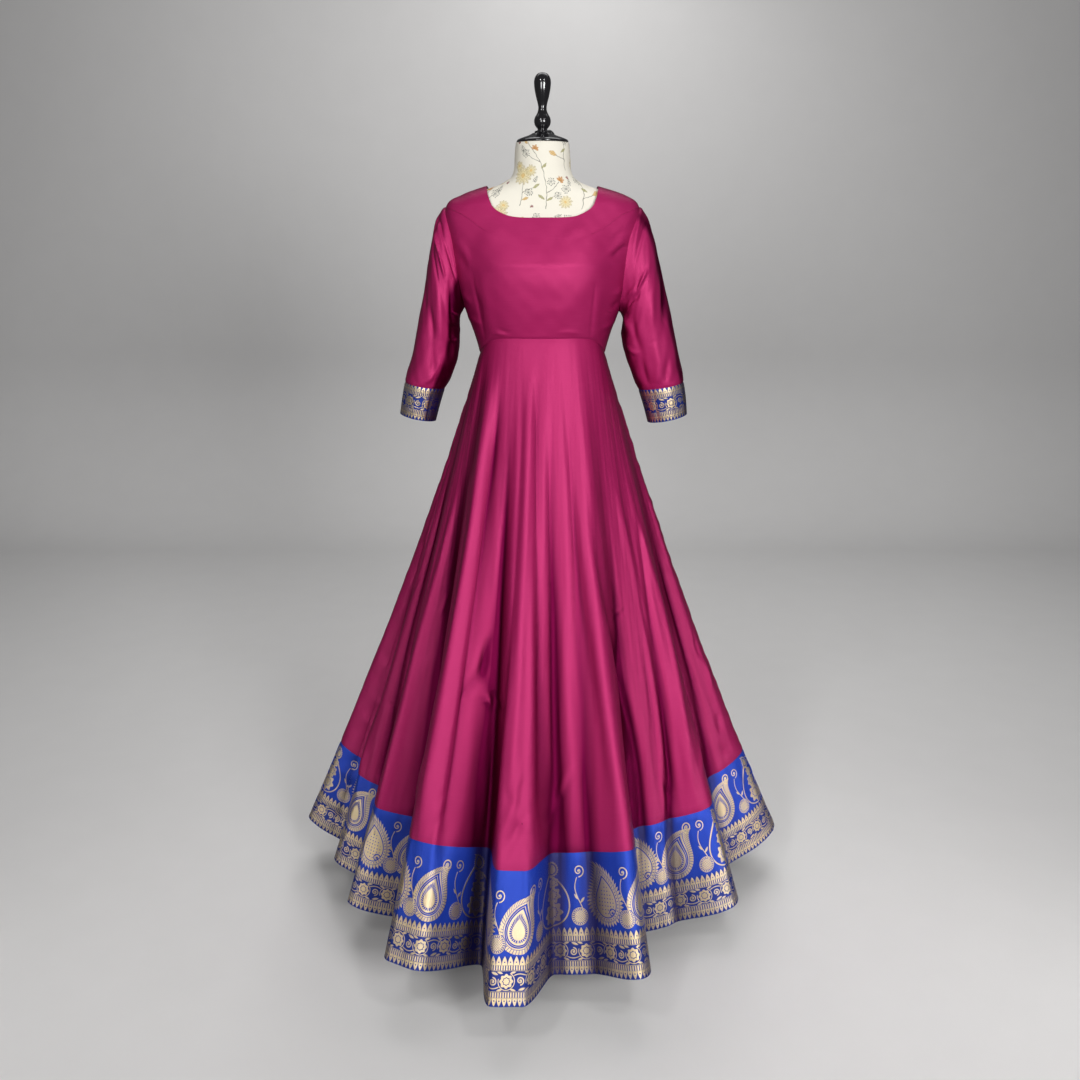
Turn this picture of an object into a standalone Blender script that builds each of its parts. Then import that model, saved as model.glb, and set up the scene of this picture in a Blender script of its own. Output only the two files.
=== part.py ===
# Full-length anarkali gown resting on a limbless dress form that stands on a round base.
# Metres, +Z up, the gown's front faces -Y, origin at the centre of the base's underside.
# Every cloth piece is a thin wall on a surface worked out from the tables below.

import math

import bmesh
import bpy
import numpy as np

# Driving sizes
CLOTH_WALL = 0.0020  # thickness of every cloth wall
SEAM_GAP = 0.0003  # space left between neighbouring pieces
WAIST_SEAM_GAP = 0.0008  # the same at the curved waist seam
FORM_CLEARANCE = 0.0040  # space between the dress form and the cloth on it
SHOULDER_INSET = 0.0040  # how much smaller the form is under the shoulder ridge
SHOULDER_LEVEL = 1.442  # height of that ridge
SHOULDER_REACH = 0.036  # how far above and below it the form is smaller

WAIST_HEIGHT = 1.192  # waist seam at centre front and centre back
WAIST_SIDE_DROP = 0.038  # how much lower the seam runs at the sides
WAIST_DROP_POWER = 6  # how close to the sides the drop begins
WAIST_SIDE_REACH = 0.12  # least distance of the side seams from the axis above the waist seam

HEM_LEVEL = 1.160  # height from which the hem's fall is measured all round
HEM_INSET = 0.120  # distance from the axis at that height
SLANT_LENGTH = 1.135  # from there to the hem, measured down the skirt
BORDER_WIDTH = 0.195  # woven border along the hem, measured down the skirt
HEM_FAN = math.radians(18)  # how far the folds swing forward between waist and hem
SKIRT_SAG = 0.095  # how hollow the skirt's side line is
SKIRT_TOP_REACH = 0.045  # how fast the side seams move with the angle at the top of the skirt
SKIRT_FLARE = 0.475  # and how much faster they do at the hem
MEAN_HEM_RADIUS = 0.475  # the hem's distance from the axis if it had no folds
FOLD_GROWTH = 1.6  # how fast the folds grow towards the hem
LEVEL_SHARE = 1 / 12  # share of the fall over which the wall turns from level at the seam

SHOULDER_TIP_HEIGHT = 1.450
UNDERARM_HEIGHT = 1.243
ARMHOLE_FRONT_DEPTH = 0.056
ARMHOLE_BACK_DEPTH = 0.062
ARMHOLE_ROUNDNESS = 0.9  # below 1 the armhole is fuller than an ellipse
SHOULDER_BEND = 0.8  # below 1 the shoulder seam rises faster at its outer end
NECK_POINT_HEIGHT = 1.4905  # where the shoulder seam meets the neckline
NECK_FRONT_HEIGHT = 1.428
NECK_BACK_HEIGHT = 1.458

CUFF_START = 7  # sleeve section where the cuff border begins

POLE_RADIUS = 0.0125
BASE_HEIGHT = 0.030

SKIRT_COLUMNS = 72  # per half of the skirt
SKIRT_ROWS = 6
SKIRT_ROW_CROWDING = 1.3  # above 1 the rows stand closer together at the top
BORDER_ROWS = 1
BODICE_COLUMNS = 12  # from side to centre
BODICE_COLUMN_CROWDING = 1.35  # above 1 the columns stand closer together at the side
SIDE_SEAM_ROWS = 3  # of the bodice's rows, below the underarm
ARMHOLE_ROWS = 7  # from the underarm to the shoulder tip
SHOULDER_ROWS = 3  # from there to the neckline
NECKLINE_STEPS = 40  # along the neckline's curve
SLEEVE_COLUMNS = 20
FORM_COLUMNS = 28
CAP_COLUMNS = 24
FINIAL_COLUMNS = 12
LUG_COLUMNS = 12
POLE_COLUMNS = 16
BASE_COLUMNS = 32

# Dress form, one row per level: height, half width, depth in front, depth behind, squareness
BODY_LEVELS = np.array([
    # height  width   front   back    power
    (0.860,  0.1500, 0.0980, 0.1080, 2.1),
    (0.880,  0.1600, 0.1040, 0.1150, 2.1),
    (0.950,  0.1620, 0.1060, 0.1160, 2.1),
    (1.020,  0.1490, 0.1030, 0.1040, 2.1),
    (1.090,  0.1290, 0.0950, 0.0860, 2.1),
    (1.145,  0.1235, 0.0915, 0.0790, 2.1),
    (1.195,  0.1360, 0.0960, 0.0830, 2.2),
    (1.245,  0.1540, 0.1000, 0.0900, 2.3),
    (1.290,  0.1700, 0.1010, 0.0960, 2.4),
    (1.340,  0.1830, 0.0960, 0.0990, 2.5),
    (1.390,  0.1920, 0.0860, 0.0990, 2.6),
    (1.425,  0.1965, 0.0780, 0.0940, 2.6),
    (1.445,  0.1945, 0.0735, 0.0890, 2.5),
    (1.460,  0.1860, 0.0705, 0.0840, 2.4),
    (1.475,  0.1590, 0.0670, 0.0790, 2.3),
    (1.4885, 0.1175, 0.0630, 0.0740, 2.2),
    (1.498,  0.0880, 0.0600, 0.0700, 2.1),
    (1.510,  0.0670, 0.0570, 0.0650, 2.0),
    (1.525,  0.0590, 0.0545, 0.0600, 2.0),
    (1.548,  0.0570, 0.0530, 0.0585, 2.0),
    (1.566,  0.0560, 0.0520, 0.0575, 2.0),
    (1.5815, 0.0540, 0.0500, 0.0555, 2.0),
])
BUST_HEIGHT = 1.336  # level of the bust line
BUST_DEPTH = 0.028  # how far it stands out in front of the chest
BUST_REACH = 0.128  # how far it runs to each side before it falls away
BUST_EDGE = 6  # how quickly it falls away there
BUST_ABOVE = 0.105  # height over which it slopes back to the chest
BUST_BELOW = 0.150  # and down to the waist
BUST_ROUND = 0.14  # roundness of its crest and foot, as a share of those heights

# Rings of the dress form: lowest height, highest height, number of rings
FORM_BANDS = (
    (0.860, 1.145, 7),
    (1.180, 1.290, 4),
    (1.318, 1.400, 5),
    (1.425, 1.515, 13),
    (1.530, 1.5815, 3),
)

# Half a neckline, one row per point: distance from the centre line, share of the drop
NECKLINE_FRONT = np.array([
    # sideways  drop
    (0.1120, 0.00),
    (0.1060, 0.38),
    (0.0950, 0.70),
    (0.0700, 0.93),
    (0.0400, 1.00),
    (0.0000, 1.00),
])
NECKLINE_BACK = np.array([
    # sideways  drop
    (0.1120, 0.00),
    (0.1040, 0.35),
    (0.0860, 0.72),
    (0.0600, 0.93),
    (0.0300, 1.00),
    (0.0000, 1.00),
])

# Hem line from above, one row per crest or hollow: angle from centre front (positive towards
# the wearer's left), distance from the axis, extra cloth length there
HEM_FOLDS = np.array([
    # angle   radius  extra
    (-95.0,  0.528, 0.000),
    (-86.0,  0.425, 0.000),
    (-79.0,  0.455, 0.000),
    (-66.0,  0.385, 0.000),
    (-56.0,  0.464, 0.000),
    (-41.0,  0.380, 0.000),
    (-28.5,  0.570, 0.000),
    (-23.5,  0.574, 0.000),
    (-14.0,  0.470, 0.000),
    (-8.5,   0.602, 0.030),
    (-3.5,   0.594, 0.029),
    (2.5,    0.496, 0.000),
    (10.0,   0.508, 0.000),
    (17.2,   0.576, 0.002),
    (29.5,   0.372, 0.000),
    (41.0,   0.392, 0.000),
    (55.0,   0.467, 0.000),
    (73.0,   0.395, 0.000),
    (92.0,   0.516, 0.000),
    (108.0,  0.402, 0.000),
    (122.0,  0.520, 0.004),
    (136.0,  0.396, 0.000),
    (148.0,  0.492, 0.000),
    (160.0,  0.412, 0.000),
    (174.0,  0.566, 0.010),
    (188.0,  0.424, 0.000),
    (201.0,  0.528, 0.000),
    (214.0,  0.392, 0.000),
    (229.0,  0.538, 0.006),
    (245.0,  0.398, 0.000),
    (256.0,  0.452, 0.000),
])

# Sleeve, one row per section from armhole to cuff edge, worn on the wearer's right:
# upper (outer) point, lower (inner) point, half depth front to back
SLEEVE_RIGHT = np.array([
    # outerX  outerZ  innerX  innerZ  depth
    (0.2170, 1.4270, 0.1640, 1.2360, 0.0600),
    (0.2280, 1.3800, 0.1690, 1.2270, 0.0620),
    (0.2370, 1.3300, 0.1715, 1.2120, 0.0620),
    (0.2460, 1.2700, 0.1725, 1.1950, 0.0600),
    (0.2580, 1.2130, 0.1730, 1.1720, 0.0580),
    (0.2710, 1.1500, 0.1775, 1.1400, 0.0560),
    (0.2815, 1.1140, 0.1900, 1.1060, 0.0530),
    (0.2870, 1.0930, 0.2040, 1.0790, 0.0500),
    (0.2930, 1.0610, 0.2150, 1.0450, 0.0480),
    (0.2980, 1.0270, 0.2240, 1.0110, 0.0460),
])
SLEEVE_LEFT = np.array([
    # outerX  outerZ  innerX  innerZ  depth
    (0.2150, 1.4300, 0.1640, 1.2350, 0.0600),
    (0.2310, 1.3850, 0.1670, 1.2250, 0.0630),
    (0.2430, 1.3300, 0.1660, 1.2080, 0.0640),
    (0.2570, 1.2700, 0.1650, 1.1900, 0.0630),
    (0.2700, 1.2130, 0.1680, 1.1680, 0.0610),
    (0.2840, 1.1500, 0.1760, 1.1400, 0.0580),
    (0.2915, 1.1140, 0.1890, 1.1060, 0.0540),
    (0.2950, 1.0930, 0.2010, 1.0770, 0.0510),
    (0.3000, 1.0610, 0.2120, 1.0430, 0.0490),
    (0.3030, 1.0260, 0.2215, 1.0080, 0.0470),
])

# Turned profiles: height, radius
CAP_PROFILE = np.array([
    (1.5818, 0.0440),
    (1.5820, 0.0515),
    (1.5850, 0.0525),
    (1.5885, 0.0490),
    (1.5925, 0.0390),
    (1.5960, 0.0290),
    (1.5990, 0.0230),
    (1.6005, 0.0205),
    (1.6015, 0.0160),
])
CAP_EDGE_ROW = 2  # the dome runs from this row of the cap's profile up
FINIAL_PROFILE = np.array([
    (1.6018, 0.0130),
    (1.6025, 0.0160),
    (1.6045, 0.0155),
    (1.6065, 0.0110),
    (1.6088, 0.0098),
    (1.6115, 0.0118),
    (1.6160, 0.0150),
    (1.6215, 0.0167),
    (1.6270, 0.0168),
    (1.6330, 0.0150),
    (1.6390, 0.0115),
    (1.6450, 0.0092),
    (1.6520, 0.0085),
    (1.6610, 0.0100),
    (1.6740, 0.0134),
    (1.6870, 0.0159),
    (1.6985, 0.0171),
    (1.7065, 0.0166),
    (1.7135, 0.0140),
    (1.7185, 0.0095),
    (1.7207, 0.0040),
])
LUG_CENTRE = (0.0165, 0.0205)
# The lug's heights are above the cap's domed top
LUG_PROFILE = np.array([
    (0.0008, 0.0012),
    (0.0008, 0.0045),
    (0.0008, 0.0080),
    (0.0014, 0.0092),
    (0.0040, 0.0090),
    (0.0075, 0.0072),
    (0.0100, 0.0042),
    (0.0108, 0.0012),
])
BASE_PROFILE = np.array([
    (0.0000, 0.2020),
    (0.0040, 0.2050),
    (0.0130, 0.2050),
    (0.0190, 0.2000),
    (0.0240, 0.1800),
    (0.0270, 0.0900),
    (0.0300, 0.0400),
])


# Surfaces
def ease(t):
    """Half a cosine wave from 0 to 1."""
    return 0.5 - 0.5 * np.cos(np.pi * np.clip(t, 0.0, 1.0))


def body_level(height):
    """Sizes of the dress form's section at each height, smoothly between the table's rows."""
    heights = BODY_LEVELS[:, 0]
    row = np.clip(np.searchsorted(heights, height, side="right") - 1, 0, len(heights) - 2)
    step = heights[row + 1] - heights[row]
    t = np.clip((height - heights[row]) / step, 0.0, 1.0)[..., None]
    slopes = np.gradient(BODY_LEVELS[:, 1:], heights, axis=0)
    low, high = BODY_LEVELS[row, 1:], BODY_LEVELS[row + 1, 1:]
    low_slope, high_slope = slopes[row] * step[..., None], slopes[row + 1] * step[..., None]
    sizes = (
        (2 * t**3 - 3 * t**2 + 1) * low
        + (t**3 - 2 * t**2 + t) * low_slope
        + (3 * t**2 - 2 * t**3) * high
        + (t**3 - t**2) * high_slope
    )
    return np.moveaxis(sizes, -1, 0)


def body_point(angle, height):
    """Point on the dress form: angle 0 at the +X side, 90 degrees at the front, -90 behind.

    The bust is a straight rounded ridge that slopes evenly to the neck and to the waist.
    """
    width, front, back, power = body_level(height)
    c, s = np.cos(angle), np.sin(angle)
    depth = np.where(s > 0, front, back)
    x = width * np.sign(c) * np.abs(c) ** (2 / power)
    y = -depth * np.sign(s) * np.abs(s) ** (2 / power)
    share = (height - BUST_HEIGHT) / np.where(height > BUST_HEIGHT, BUST_ABOVE, BUST_BELOW)
    slope = 1 - np.sqrt(share**2 + BUST_ROUND**2) + BUST_ROUND
    rise = (slope + np.sqrt(slope**2 + BUST_ROUND**2 / 4)) / 2
    across = np.exp(-((np.abs(x) / BUST_REACH) ** BUST_EDGE)) * np.clip(s, 0, 1) ** 1.5
    y = y - BUST_DEPTH * rise * across
    return np.stack([x, y, height], axis=-1)


def body_normal(angle, height):
    """Outward unit normal of the dress form, from two small steps on it."""
    da, dz = 0.004, 0.0008
    along = body_point(angle + da, height) - body_point(angle - da, height)
    up = body_point(angle, height + dz) - body_point(angle, height - dz)
    normal = np.cross(along, up)
    outward = np.sign(np.sum(normal * np.stack([np.cos(angle), -np.sin(angle), 0 * angle], -1), -1))
    normal = normal * outward[..., None]
    return normal / np.linalg.norm(normal, axis=-1, keepdims=True)


def body_offset(angle, height, distance):
    """Point that stands off the dress form by a distance."""
    return body_point(angle, height) + body_normal(angle, height) * distance


def level_direction(angle):
    """Outward direction at the waist seam, kept level so that both sides of the seam agree."""
    direction = body_normal(angle, waist_height(angle)) * np.array([1.0, 1.0, 0.0])
    return direction / np.linalg.norm(direction, axis=-1, keepdims=True)


def angle_at_side(sideways, height):
    """Angle at which the form's section reaches a sideways distance."""
    width, _, _, power = body_level(height)
    return np.arccos(np.clip(np.abs(sideways) / width, 0, 1) ** (power / 2))


def angle_at_depth(depth, height, behind):
    """Angle at which the form's section reaches a depth in front or behind."""
    _, front, back, power = body_level(height)
    limit = back if behind else front
    return np.arcsin(np.clip(depth / limit, 0, 1) ** (power / 2))


def waist_height(angle):
    """Height of the waist seam: level in front and behind, lower at the sides."""
    return WAIST_HEIGHT - WAIST_SIDE_DROP * np.abs(np.cos(angle)) ** WAIST_DROP_POWER


def curve_through(table, steps):
    """Smooth curve (Catmull-Rom) through the rows of a table."""
    last = len(table) - 1
    at = np.linspace(0, last, steps + 1)
    row = np.clip(np.floor(at).astype(int), 0, last - 1)
    t = (at - row)[:, None]
    before, start, end, after = (table[np.clip(row + k, 0, last)] for k in (-1, 0, 1, 2))
    return 0.5 * (
        2 * start
        + (end - before) * t
        + (2 * before - 5 * start + 4 * end - after) * t**2
        + (3 * start - before - 3 * end + after) * t**3
    )


def along_rows(table, share):
    """Reads a table of points at a share of its length."""
    steps = np.linalg.norm(np.diff(table, axis=0), axis=1)
    reach = np.concatenate([[0], np.cumsum(steps)]) / steps.sum()
    return np.stack([np.interp(share, reach, table[:, k]) for k in range(table.shape[1])], axis=-1)


def armhole_edge(share, behind):
    """Armhole from underarm (0) to shoulder tip (1) as (depth, height): half an egg shape."""
    middle = (SHOULDER_TIP_HEIGHT + UNDERARM_HEIGHT) / 2
    half = (SHOULDER_TIP_HEIGHT - UNDERARM_HEIGHT) / 2
    turn = np.pi * share
    depth = (ARMHOLE_BACK_DEPTH if behind else ARMHOLE_FRONT_DEPTH) * np.sin(turn) ** ARMHOLE_ROUNDNESS
    return depth, middle - half * np.cos(turn)


def side_edge(share, behind):
    """Side seam, armhole and shoulder in one line, as (angle, height)."""
    rows = SIDE_SEAM_ROWS + ARMHOLE_ROWS + SHOULDER_ROWS
    seam_end, armhole_end = SIDE_SEAM_ROWS / rows, (SIDE_SEAM_ROWS + ARMHOLE_ROWS) / rows
    seam = np.clip(share / seam_end, 0, 1)
    hole = np.clip((share - seam_end) / (armhole_end - seam_end), 0, 1)
    shoulder = np.clip((share - armhole_end) / (1 - armhole_end), 0, 1)
    bottom = waist_height(np.zeros(1))[0]
    depth, hole_height = armhole_edge(hole, behind)
    hole_angle = angle_at_depth(depth, hole_height, behind)
    seam_height = bottom + (UNDERARM_HEIGHT - bottom) * seam
    shoulder_rise = NECK_POINT_HEIGHT - SHOULDER_TIP_HEIGHT
    shoulder_height = SHOULDER_TIP_HEIGHT + shoulder_rise * shoulder**SHOULDER_BEND
    height = np.where(share < armhole_end, hole_height, shoulder_height)
    height = np.where(share < seam_end, seam_height, height)
    angle = np.where((share >= seam_end) & (share < armhole_end), hole_angle, 0.0)
    return angle, height


def neckline_edge(share, behind):
    """Neckline from the shoulder point (0) to the centre (1), as (angle, height)."""
    table = NECKLINE_BACK if behind else NECKLINE_FRONT
    lowest = NECK_BACK_HEIGHT if behind else NECK_FRONT_HEIGHT
    scaled = table * np.array([1.0, NECK_POINT_HEIGHT - lowest])
    row = along_rows(curve_through(scaled, NECKLINE_STEPS), share)
    height = NECK_POINT_HEIGHT - row[..., 1]
    angle = angle_at_side(row[..., 0], height)
    return np.where(share <= 0, 0.0, np.where(share >= 1, np.pi / 2, angle)), height


def bodice_half(behind):
    """Angles and heights of half a bodice panel, as a patch between its four edges."""
    u = np.linspace(0, 1, BODICE_COLUMNS + 1)[None, :] ** BODICE_COLUMN_CROWDING
    v = np.linspace(0, 1, SIDE_SEAM_ROWS + ARMHOLE_ROWS + SHOULDER_ROWS + 1)[:, None]
    lowest = NECK_BACK_HEIGHT if behind else NECK_FRONT_HEIGHT
    side = np.stack(side_edge(v, behind), -1)
    bottom_angle = u * np.pi / 2
    bottom = np.stack([bottom_angle, waist_height(bottom_angle)], -1)
    centre = np.stack([0 * v + np.pi / 2, WAIST_HEIGHT + (lowest - WAIST_HEIGHT) * v], -1)
    top = np.stack(neckline_edge(u, behind), -1)
    u3, v3 = u[..., None], v[..., None]
    corners = (
        (1 - u3) * (1 - v3) * bottom[:, :1]
        + u3 * (1 - v3) * bottom[:, -1:]
        + (1 - u3) * v3 * top[:, :1]
        + u3 * v3 * top[:, -1:]
    )
    return (1 - u3) * side + u3 * centre + (1 - v3) * bottom + v3 * top - corners


def hem_at(angle):
    """Distance from the axis and extra length at the hem, in half cosine waves between rows."""
    degrees = np.degrees(angle)
    start = HEM_FOLDS[0, 0]
    table = np.vstack([HEM_FOLDS, HEM_FOLDS[:1] + np.array([360.0, 0.0, 0.0])])
    turned = (degrees - start) % 360.0 + start
    row = np.clip(np.searchsorted(table[:, 0], turned, side="right") - 1, 0, len(table) - 2)
    t = ease((turned - table[row, 0]) / (table[row + 1, 0] - table[row, 0]))
    radius = table[row, 1] + (table[row + 1, 1] - table[row, 1]) * t
    extra = table[row, 2] + (table[row + 1, 2] - table[row, 2]) * t
    return radius, extra


def skirt_point(angle, down):
    """Point on the skirt: angle from centre front, share of the way down from waist to hem.

    The flutes of the hem fade upwards faster than the flare does.
    """
    at_waist = angle + HEM_FAN * np.sin(2 * angle)
    body_angle = np.pi / 2 - at_waist
    seam_height = waist_height(body_angle)
    seam = body_offset(body_angle, seam_height, FORM_CLEARANCE + CLOTH_WALL / 2)
    radius, extra = hem_at(angle)
    hem_height = HEM_LEVEL - np.sqrt((SLANT_LENGTH + extra) ** 2 - (radius - HEM_INSET) ** 2)
    hem = np.stack([radius * np.sin(angle), -radius * np.cos(angle), hem_height], -1)
    outward = down - SKIRT_SAG * down * (1 - down)
    share = np.stack([outward, outward, down], -1)
    spread = (radius - MEAN_HEM_RADIUS) * (np.clip(down, 0, 1) ** FOLD_GROWTH - down)
    flutes = np.stack([np.sin(angle), -np.cos(angle), 0 * angle], -1) * spread[..., None]
    return seam + (hem - seam) * share + flutes


def skirt_wall(angle, down):
    """Point and outward direction on the skirt; at the seam the direction is the bodice's."""
    da, dv = 0.003, 0.002
    along = skirt_point(angle + da, down) - skirt_point(angle - da, down)
    fall = skirt_point(angle, np.minimum(down + dv, 1.0)) - skirt_point(angle, np.maximum(down - dv, 0))
    normal = np.cross(fall, along)
    normal = normal / np.linalg.norm(normal, axis=-1, keepdims=True)
    level = level_direction(np.pi / 2 - (angle + HEM_FAN * np.sin(2 * angle)))
    mix = np.clip(down / LEVEL_SHARE, 0, 1)[..., None]
    direction = level * (1 - mix) + normal * mix
    return skirt_point(angle, down), direction / np.linalg.norm(direction, axis=-1, keepdims=True)


# Mesh helpers
def finish_piece(name, bm, material):
    """Writes a bmesh into a named object with its material, faces pointing out."""
    bmesh.ops.recalc_face_normals(bm, faces=bm.faces)
    mesh = bpy.data.meshes.new(name)
    bm.to_mesh(mesh)
    bm.free()
    mesh.materials.append(material)
    mesh.shade_smooth()
    mesh.set_sharp_from_angle(angle=math.radians(50))
    piece = bpy.data.objects.new(name, mesh)
    bpy.context.collection.objects.link(piece)
    return piece


def wall_piece(name, outer, inner, material, closed_round=False):
    """Closed wall between two grids of points; closed_round joins the first and last columns."""
    rows, columns = outer.shape[:2]
    bm = bmesh.new()
    outside = [[bm.verts.new(p) for p in row] for row in outer]
    inside = [[bm.verts.new(p) for p in row] for row in inner]
    last = columns if closed_round else columns - 1
    for r in range(rows - 1):
        for c in range(last):
            n = (c + 1) % columns
            bm.faces.new((outside[r][c], outside[r][n], outside[r + 1][n], outside[r + 1][c]))
            bm.faces.new((inside[r][c], inside[r + 1][c], inside[r + 1][n], inside[r][n]))
    for c in range(last):
        n = (c + 1) % columns
        bm.faces.new((outside[0][c], inside[0][c], inside[0][n], outside[0][n]))
        bm.faces.new((outside[-1][c], outside[-1][n], inside[-1][n], inside[-1][c]))
    if not closed_round:
        for r in range(rows - 1):
            bm.faces.new((outside[r][0], outside[r + 1][0], inside[r + 1][0], inside[r][0]))
            bm.faces.new((outside[r][-1], inside[r][-1], inside[r + 1][-1], outside[r + 1][-1]))
    return finish_piece(name, bm, material)


def level_ground(x, y):
    """Zero height everywhere."""
    return 0.0


def cap_top(x, y):
    """Height of the neck cap's domed top at a point."""
    dome = CAP_PROFILE[CAP_EDGE_ROW:][::-1]
    return float(np.interp(math.hypot(x, y), dome[:, 1], dome[:, 0]))


def turned_piece(name, profile, material, columns, centre=(0.0, 0.0), ground=level_ground):
    """Round solid from a profile of (height above the ground, radius), closed at both ends."""
    bm = bmesh.new()
    rings = []
    for height, radius in profile:
        ring = []
        for k in range(columns):
            turn = 2 * math.pi * k / columns
            x = centre[0] + radius * math.cos(turn)
            y = centre[1] + radius * math.sin(turn)
            ring.append(bm.verts.new((x, y, height + ground(x, y))))
        rings.append(ring)
    for low, high in zip(rings, rings[1:]):
        for k in range(columns):
            n = (k + 1) % columns
            bm.faces.new((low[k], low[n], high[n], high[k]))
    bm.faces.new(list(reversed(rings[0])))
    bm.faces.new(rings[-1])
    return finish_piece(name, bm, material)


def make_material(name, colour, roughness, metallic=0.0):
    """Principled material in one colour."""
    material = bpy.data.materials.new(name)
    material.use_nodes = True
    shader = material.node_tree.nodes["Principled BSDF"]
    shader.inputs["Base Color"].default_value = (*colour, 1.0)
    shader.inputs["Roughness"].default_value = roughness
    shader.inputs["Metallic"].default_value = metallic
    return material


# Pieces
def make_bodice(name, behind, material):
    """Front or back of the bodice, mirrored from its wearer's-left half."""
    half = bodice_half(behind)
    trim = SEAM_GAP / 2 / WAIST_SIDE_REACH
    angle = np.clip(half[..., 0], trim, np.pi / 2)
    height = half[..., 1].copy()
    height[0] += WAIST_SEAM_GAP / 2
    angles = np.concatenate([angle, (np.pi - angle)[:, -2::-1]], axis=1)
    heights = np.concatenate([height, height[:, -2::-1]], axis=1)
    if behind:
        angles = -angles
    direction = body_normal(angles, heights)
    direction[0] = level_direction(angles[0])
    middle = body_offset(angles, heights, FORM_CLEARANCE + CLOTH_WALL / 2)
    outer, inner = middle + direction * CLOTH_WALL / 2, middle - direction * CLOTH_WALL / 2
    wall_piece(name, outer, inner, material)


def sleeve_rings(table, side):
    """Mid-surface of a sleeve: the armhole first, then the table's slanted ovals."""
    turn = np.linspace(0, 2 * np.pi, SLEEVE_COLUMNS, endpoint=False)
    share = 0.5 + 0.5 * np.cos(turn)
    behind = np.sin(turn) > 0
    share = np.arccos(1 - 2 * share) / np.pi
    front_depth, height = armhole_edge(share, False)
    back_depth, _ = armhole_edge(share, True)
    angle = np.where(behind, -angle_at_depth(back_depth, height, True),
                     angle_at_depth(front_depth, height, False))
    stand_off = FORM_CLEARANCE + CLOTH_WALL * 1.5 + SEAM_GAP * 2
    rings = [body_offset(angle, height, stand_off)]
    for outer_x, outer_z, inner_x, inner_z, depth in table:
        middle_x, middle_z = (outer_x + inner_x) / 2, (outer_z + inner_z) / 2
        reach_x, reach_z = (outer_x - inner_x) / 2, (outer_z - inner_z) / 2
        rings.append(np.stack([
            middle_x + reach_x * np.cos(turn),
            depth * np.sin(turn),
            middle_z + reach_z * np.cos(turn),
        ], -1))
    rings = np.array(rings)
    rings[..., 0] *= side
    return rings


def ring_directions(rings):
    """Outward direction at each point of a tube's rings, from its neighbours."""
    around = np.roll(rings, -1, axis=1) - np.roll(rings, 1, axis=1)
    along = np.gradient(rings, axis=0)
    normal = np.cross(around, along)
    normal /= np.linalg.norm(normal, axis=-1, keepdims=True)
    from_middle = rings - rings.mean(axis=1, keepdims=True)
    sign = np.sign(np.sum(normal * from_middle, axis=(1, 2), keepdims=True))
    return normal * sign


def make_sleeve(side_name, table, side, cloth, border):
    """One sleeve and, below it, its woven cuff border."""
    rings = sleeve_rings(table, side)
    out = ring_directions(rings)
    first = rings[0] - rings[0].mean(axis=0)
    first[:, 0] = 0
    out[0] = first / np.linalg.norm(first, axis=-1, keepdims=True)
    outer, inner = rings + out * CLOTH_WALL / 2, rings - out * CLOTH_WALL / 2
    last = CUFF_START + 1
    wall_piece("sleeve_" + side_name, outer[:last + 1], inner[:last + 1], cloth, True)
    step = rings[last + 1] - rings[last]
    gap = SEAM_GAP * step / np.linalg.norm(step, axis=-1, keepdims=True)
    cuff_outer, cuff_inner = outer[last:].copy(), inner[last:].copy()
    cuff_outer[0] += gap
    cuff_inner[0] += gap
    wall_piece("cuff_border_" + side_name, cuff_outer, cuff_inner, border, True)


def make_skirt_half(suffix, middle, cloth, border):
    """Front or back of the skirt and the border below it, from side seam to side seam."""
    angle = np.linspace(middle - np.pi / 2, middle + np.pi / 2, SKIRT_COLUMNS + 1)[None, :]
    border_top = 1 - BORDER_WIDTH / SLANT_LENGTH
    seam_share = SEAM_GAP / 2 / SLANT_LENGTH
    waist_share = WAIST_SEAM_GAP / 2 / SLANT_LENGTH
    for name, first, last, rows, material in (
        ("skirt_" + suffix, waist_share, border_top - seam_share, SKIRT_ROWS, cloth),
        ("hem_border_" + suffix, border_top + seam_share, 1.0, BORDER_ROWS, border),
    ):
        down = first + (last - first) * np.linspace(0, 1, rows + 1)[:, None] ** SKIRT_ROW_CROWDING
        around = angle + 0 * down
        edge = SEAM_GAP / 2 / (SKIRT_TOP_REACH + SKIRT_FLARE * down[:, 0])
        around[:, 0] += edge
        around[:, -1] -= edge
        point, direction = skirt_wall(around, down + 0 * around)
        outer, inner = point + direction * CLOTH_WALL / 2, point - direction * CLOTH_WALL / 2
        wall_piece(name, outer, inner, material)


def make_form(material):
    """Limbless dress form, a smooth closed body from the hips to the top of the neck."""
    levels = np.concatenate([np.linspace(*band) for band in FORM_BANDS])
    angles = np.linspace(0, 2 * np.pi, FORM_COLUMNS, endpoint=False)
    angles = np.where(angles > np.pi, angles - 2 * np.pi, angles)
    bm = bmesh.new()
    angles, heights = np.meshgrid(angles, levels)
    inset = SHOULDER_INSET * np.exp(-(((heights - SHOULDER_LEVEL) / SHOULDER_REACH) ** 2))[..., None]
    points = body_offset(angles, heights, -inset)
    rings = [[bm.verts.new(p) for p in ring] for ring in points]
    for low, high in zip(rings, rings[1:]):
        for k in range(FORM_COLUMNS):
            n = (k + 1) % FORM_COLUMNS
            bm.faces.new((low[k], low[n], high[n], high[k]))
    bm.faces.new(rings[0])
    bm.faces.new(rings[-1])
    finish_piece("form_torso", bm, material)


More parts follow.
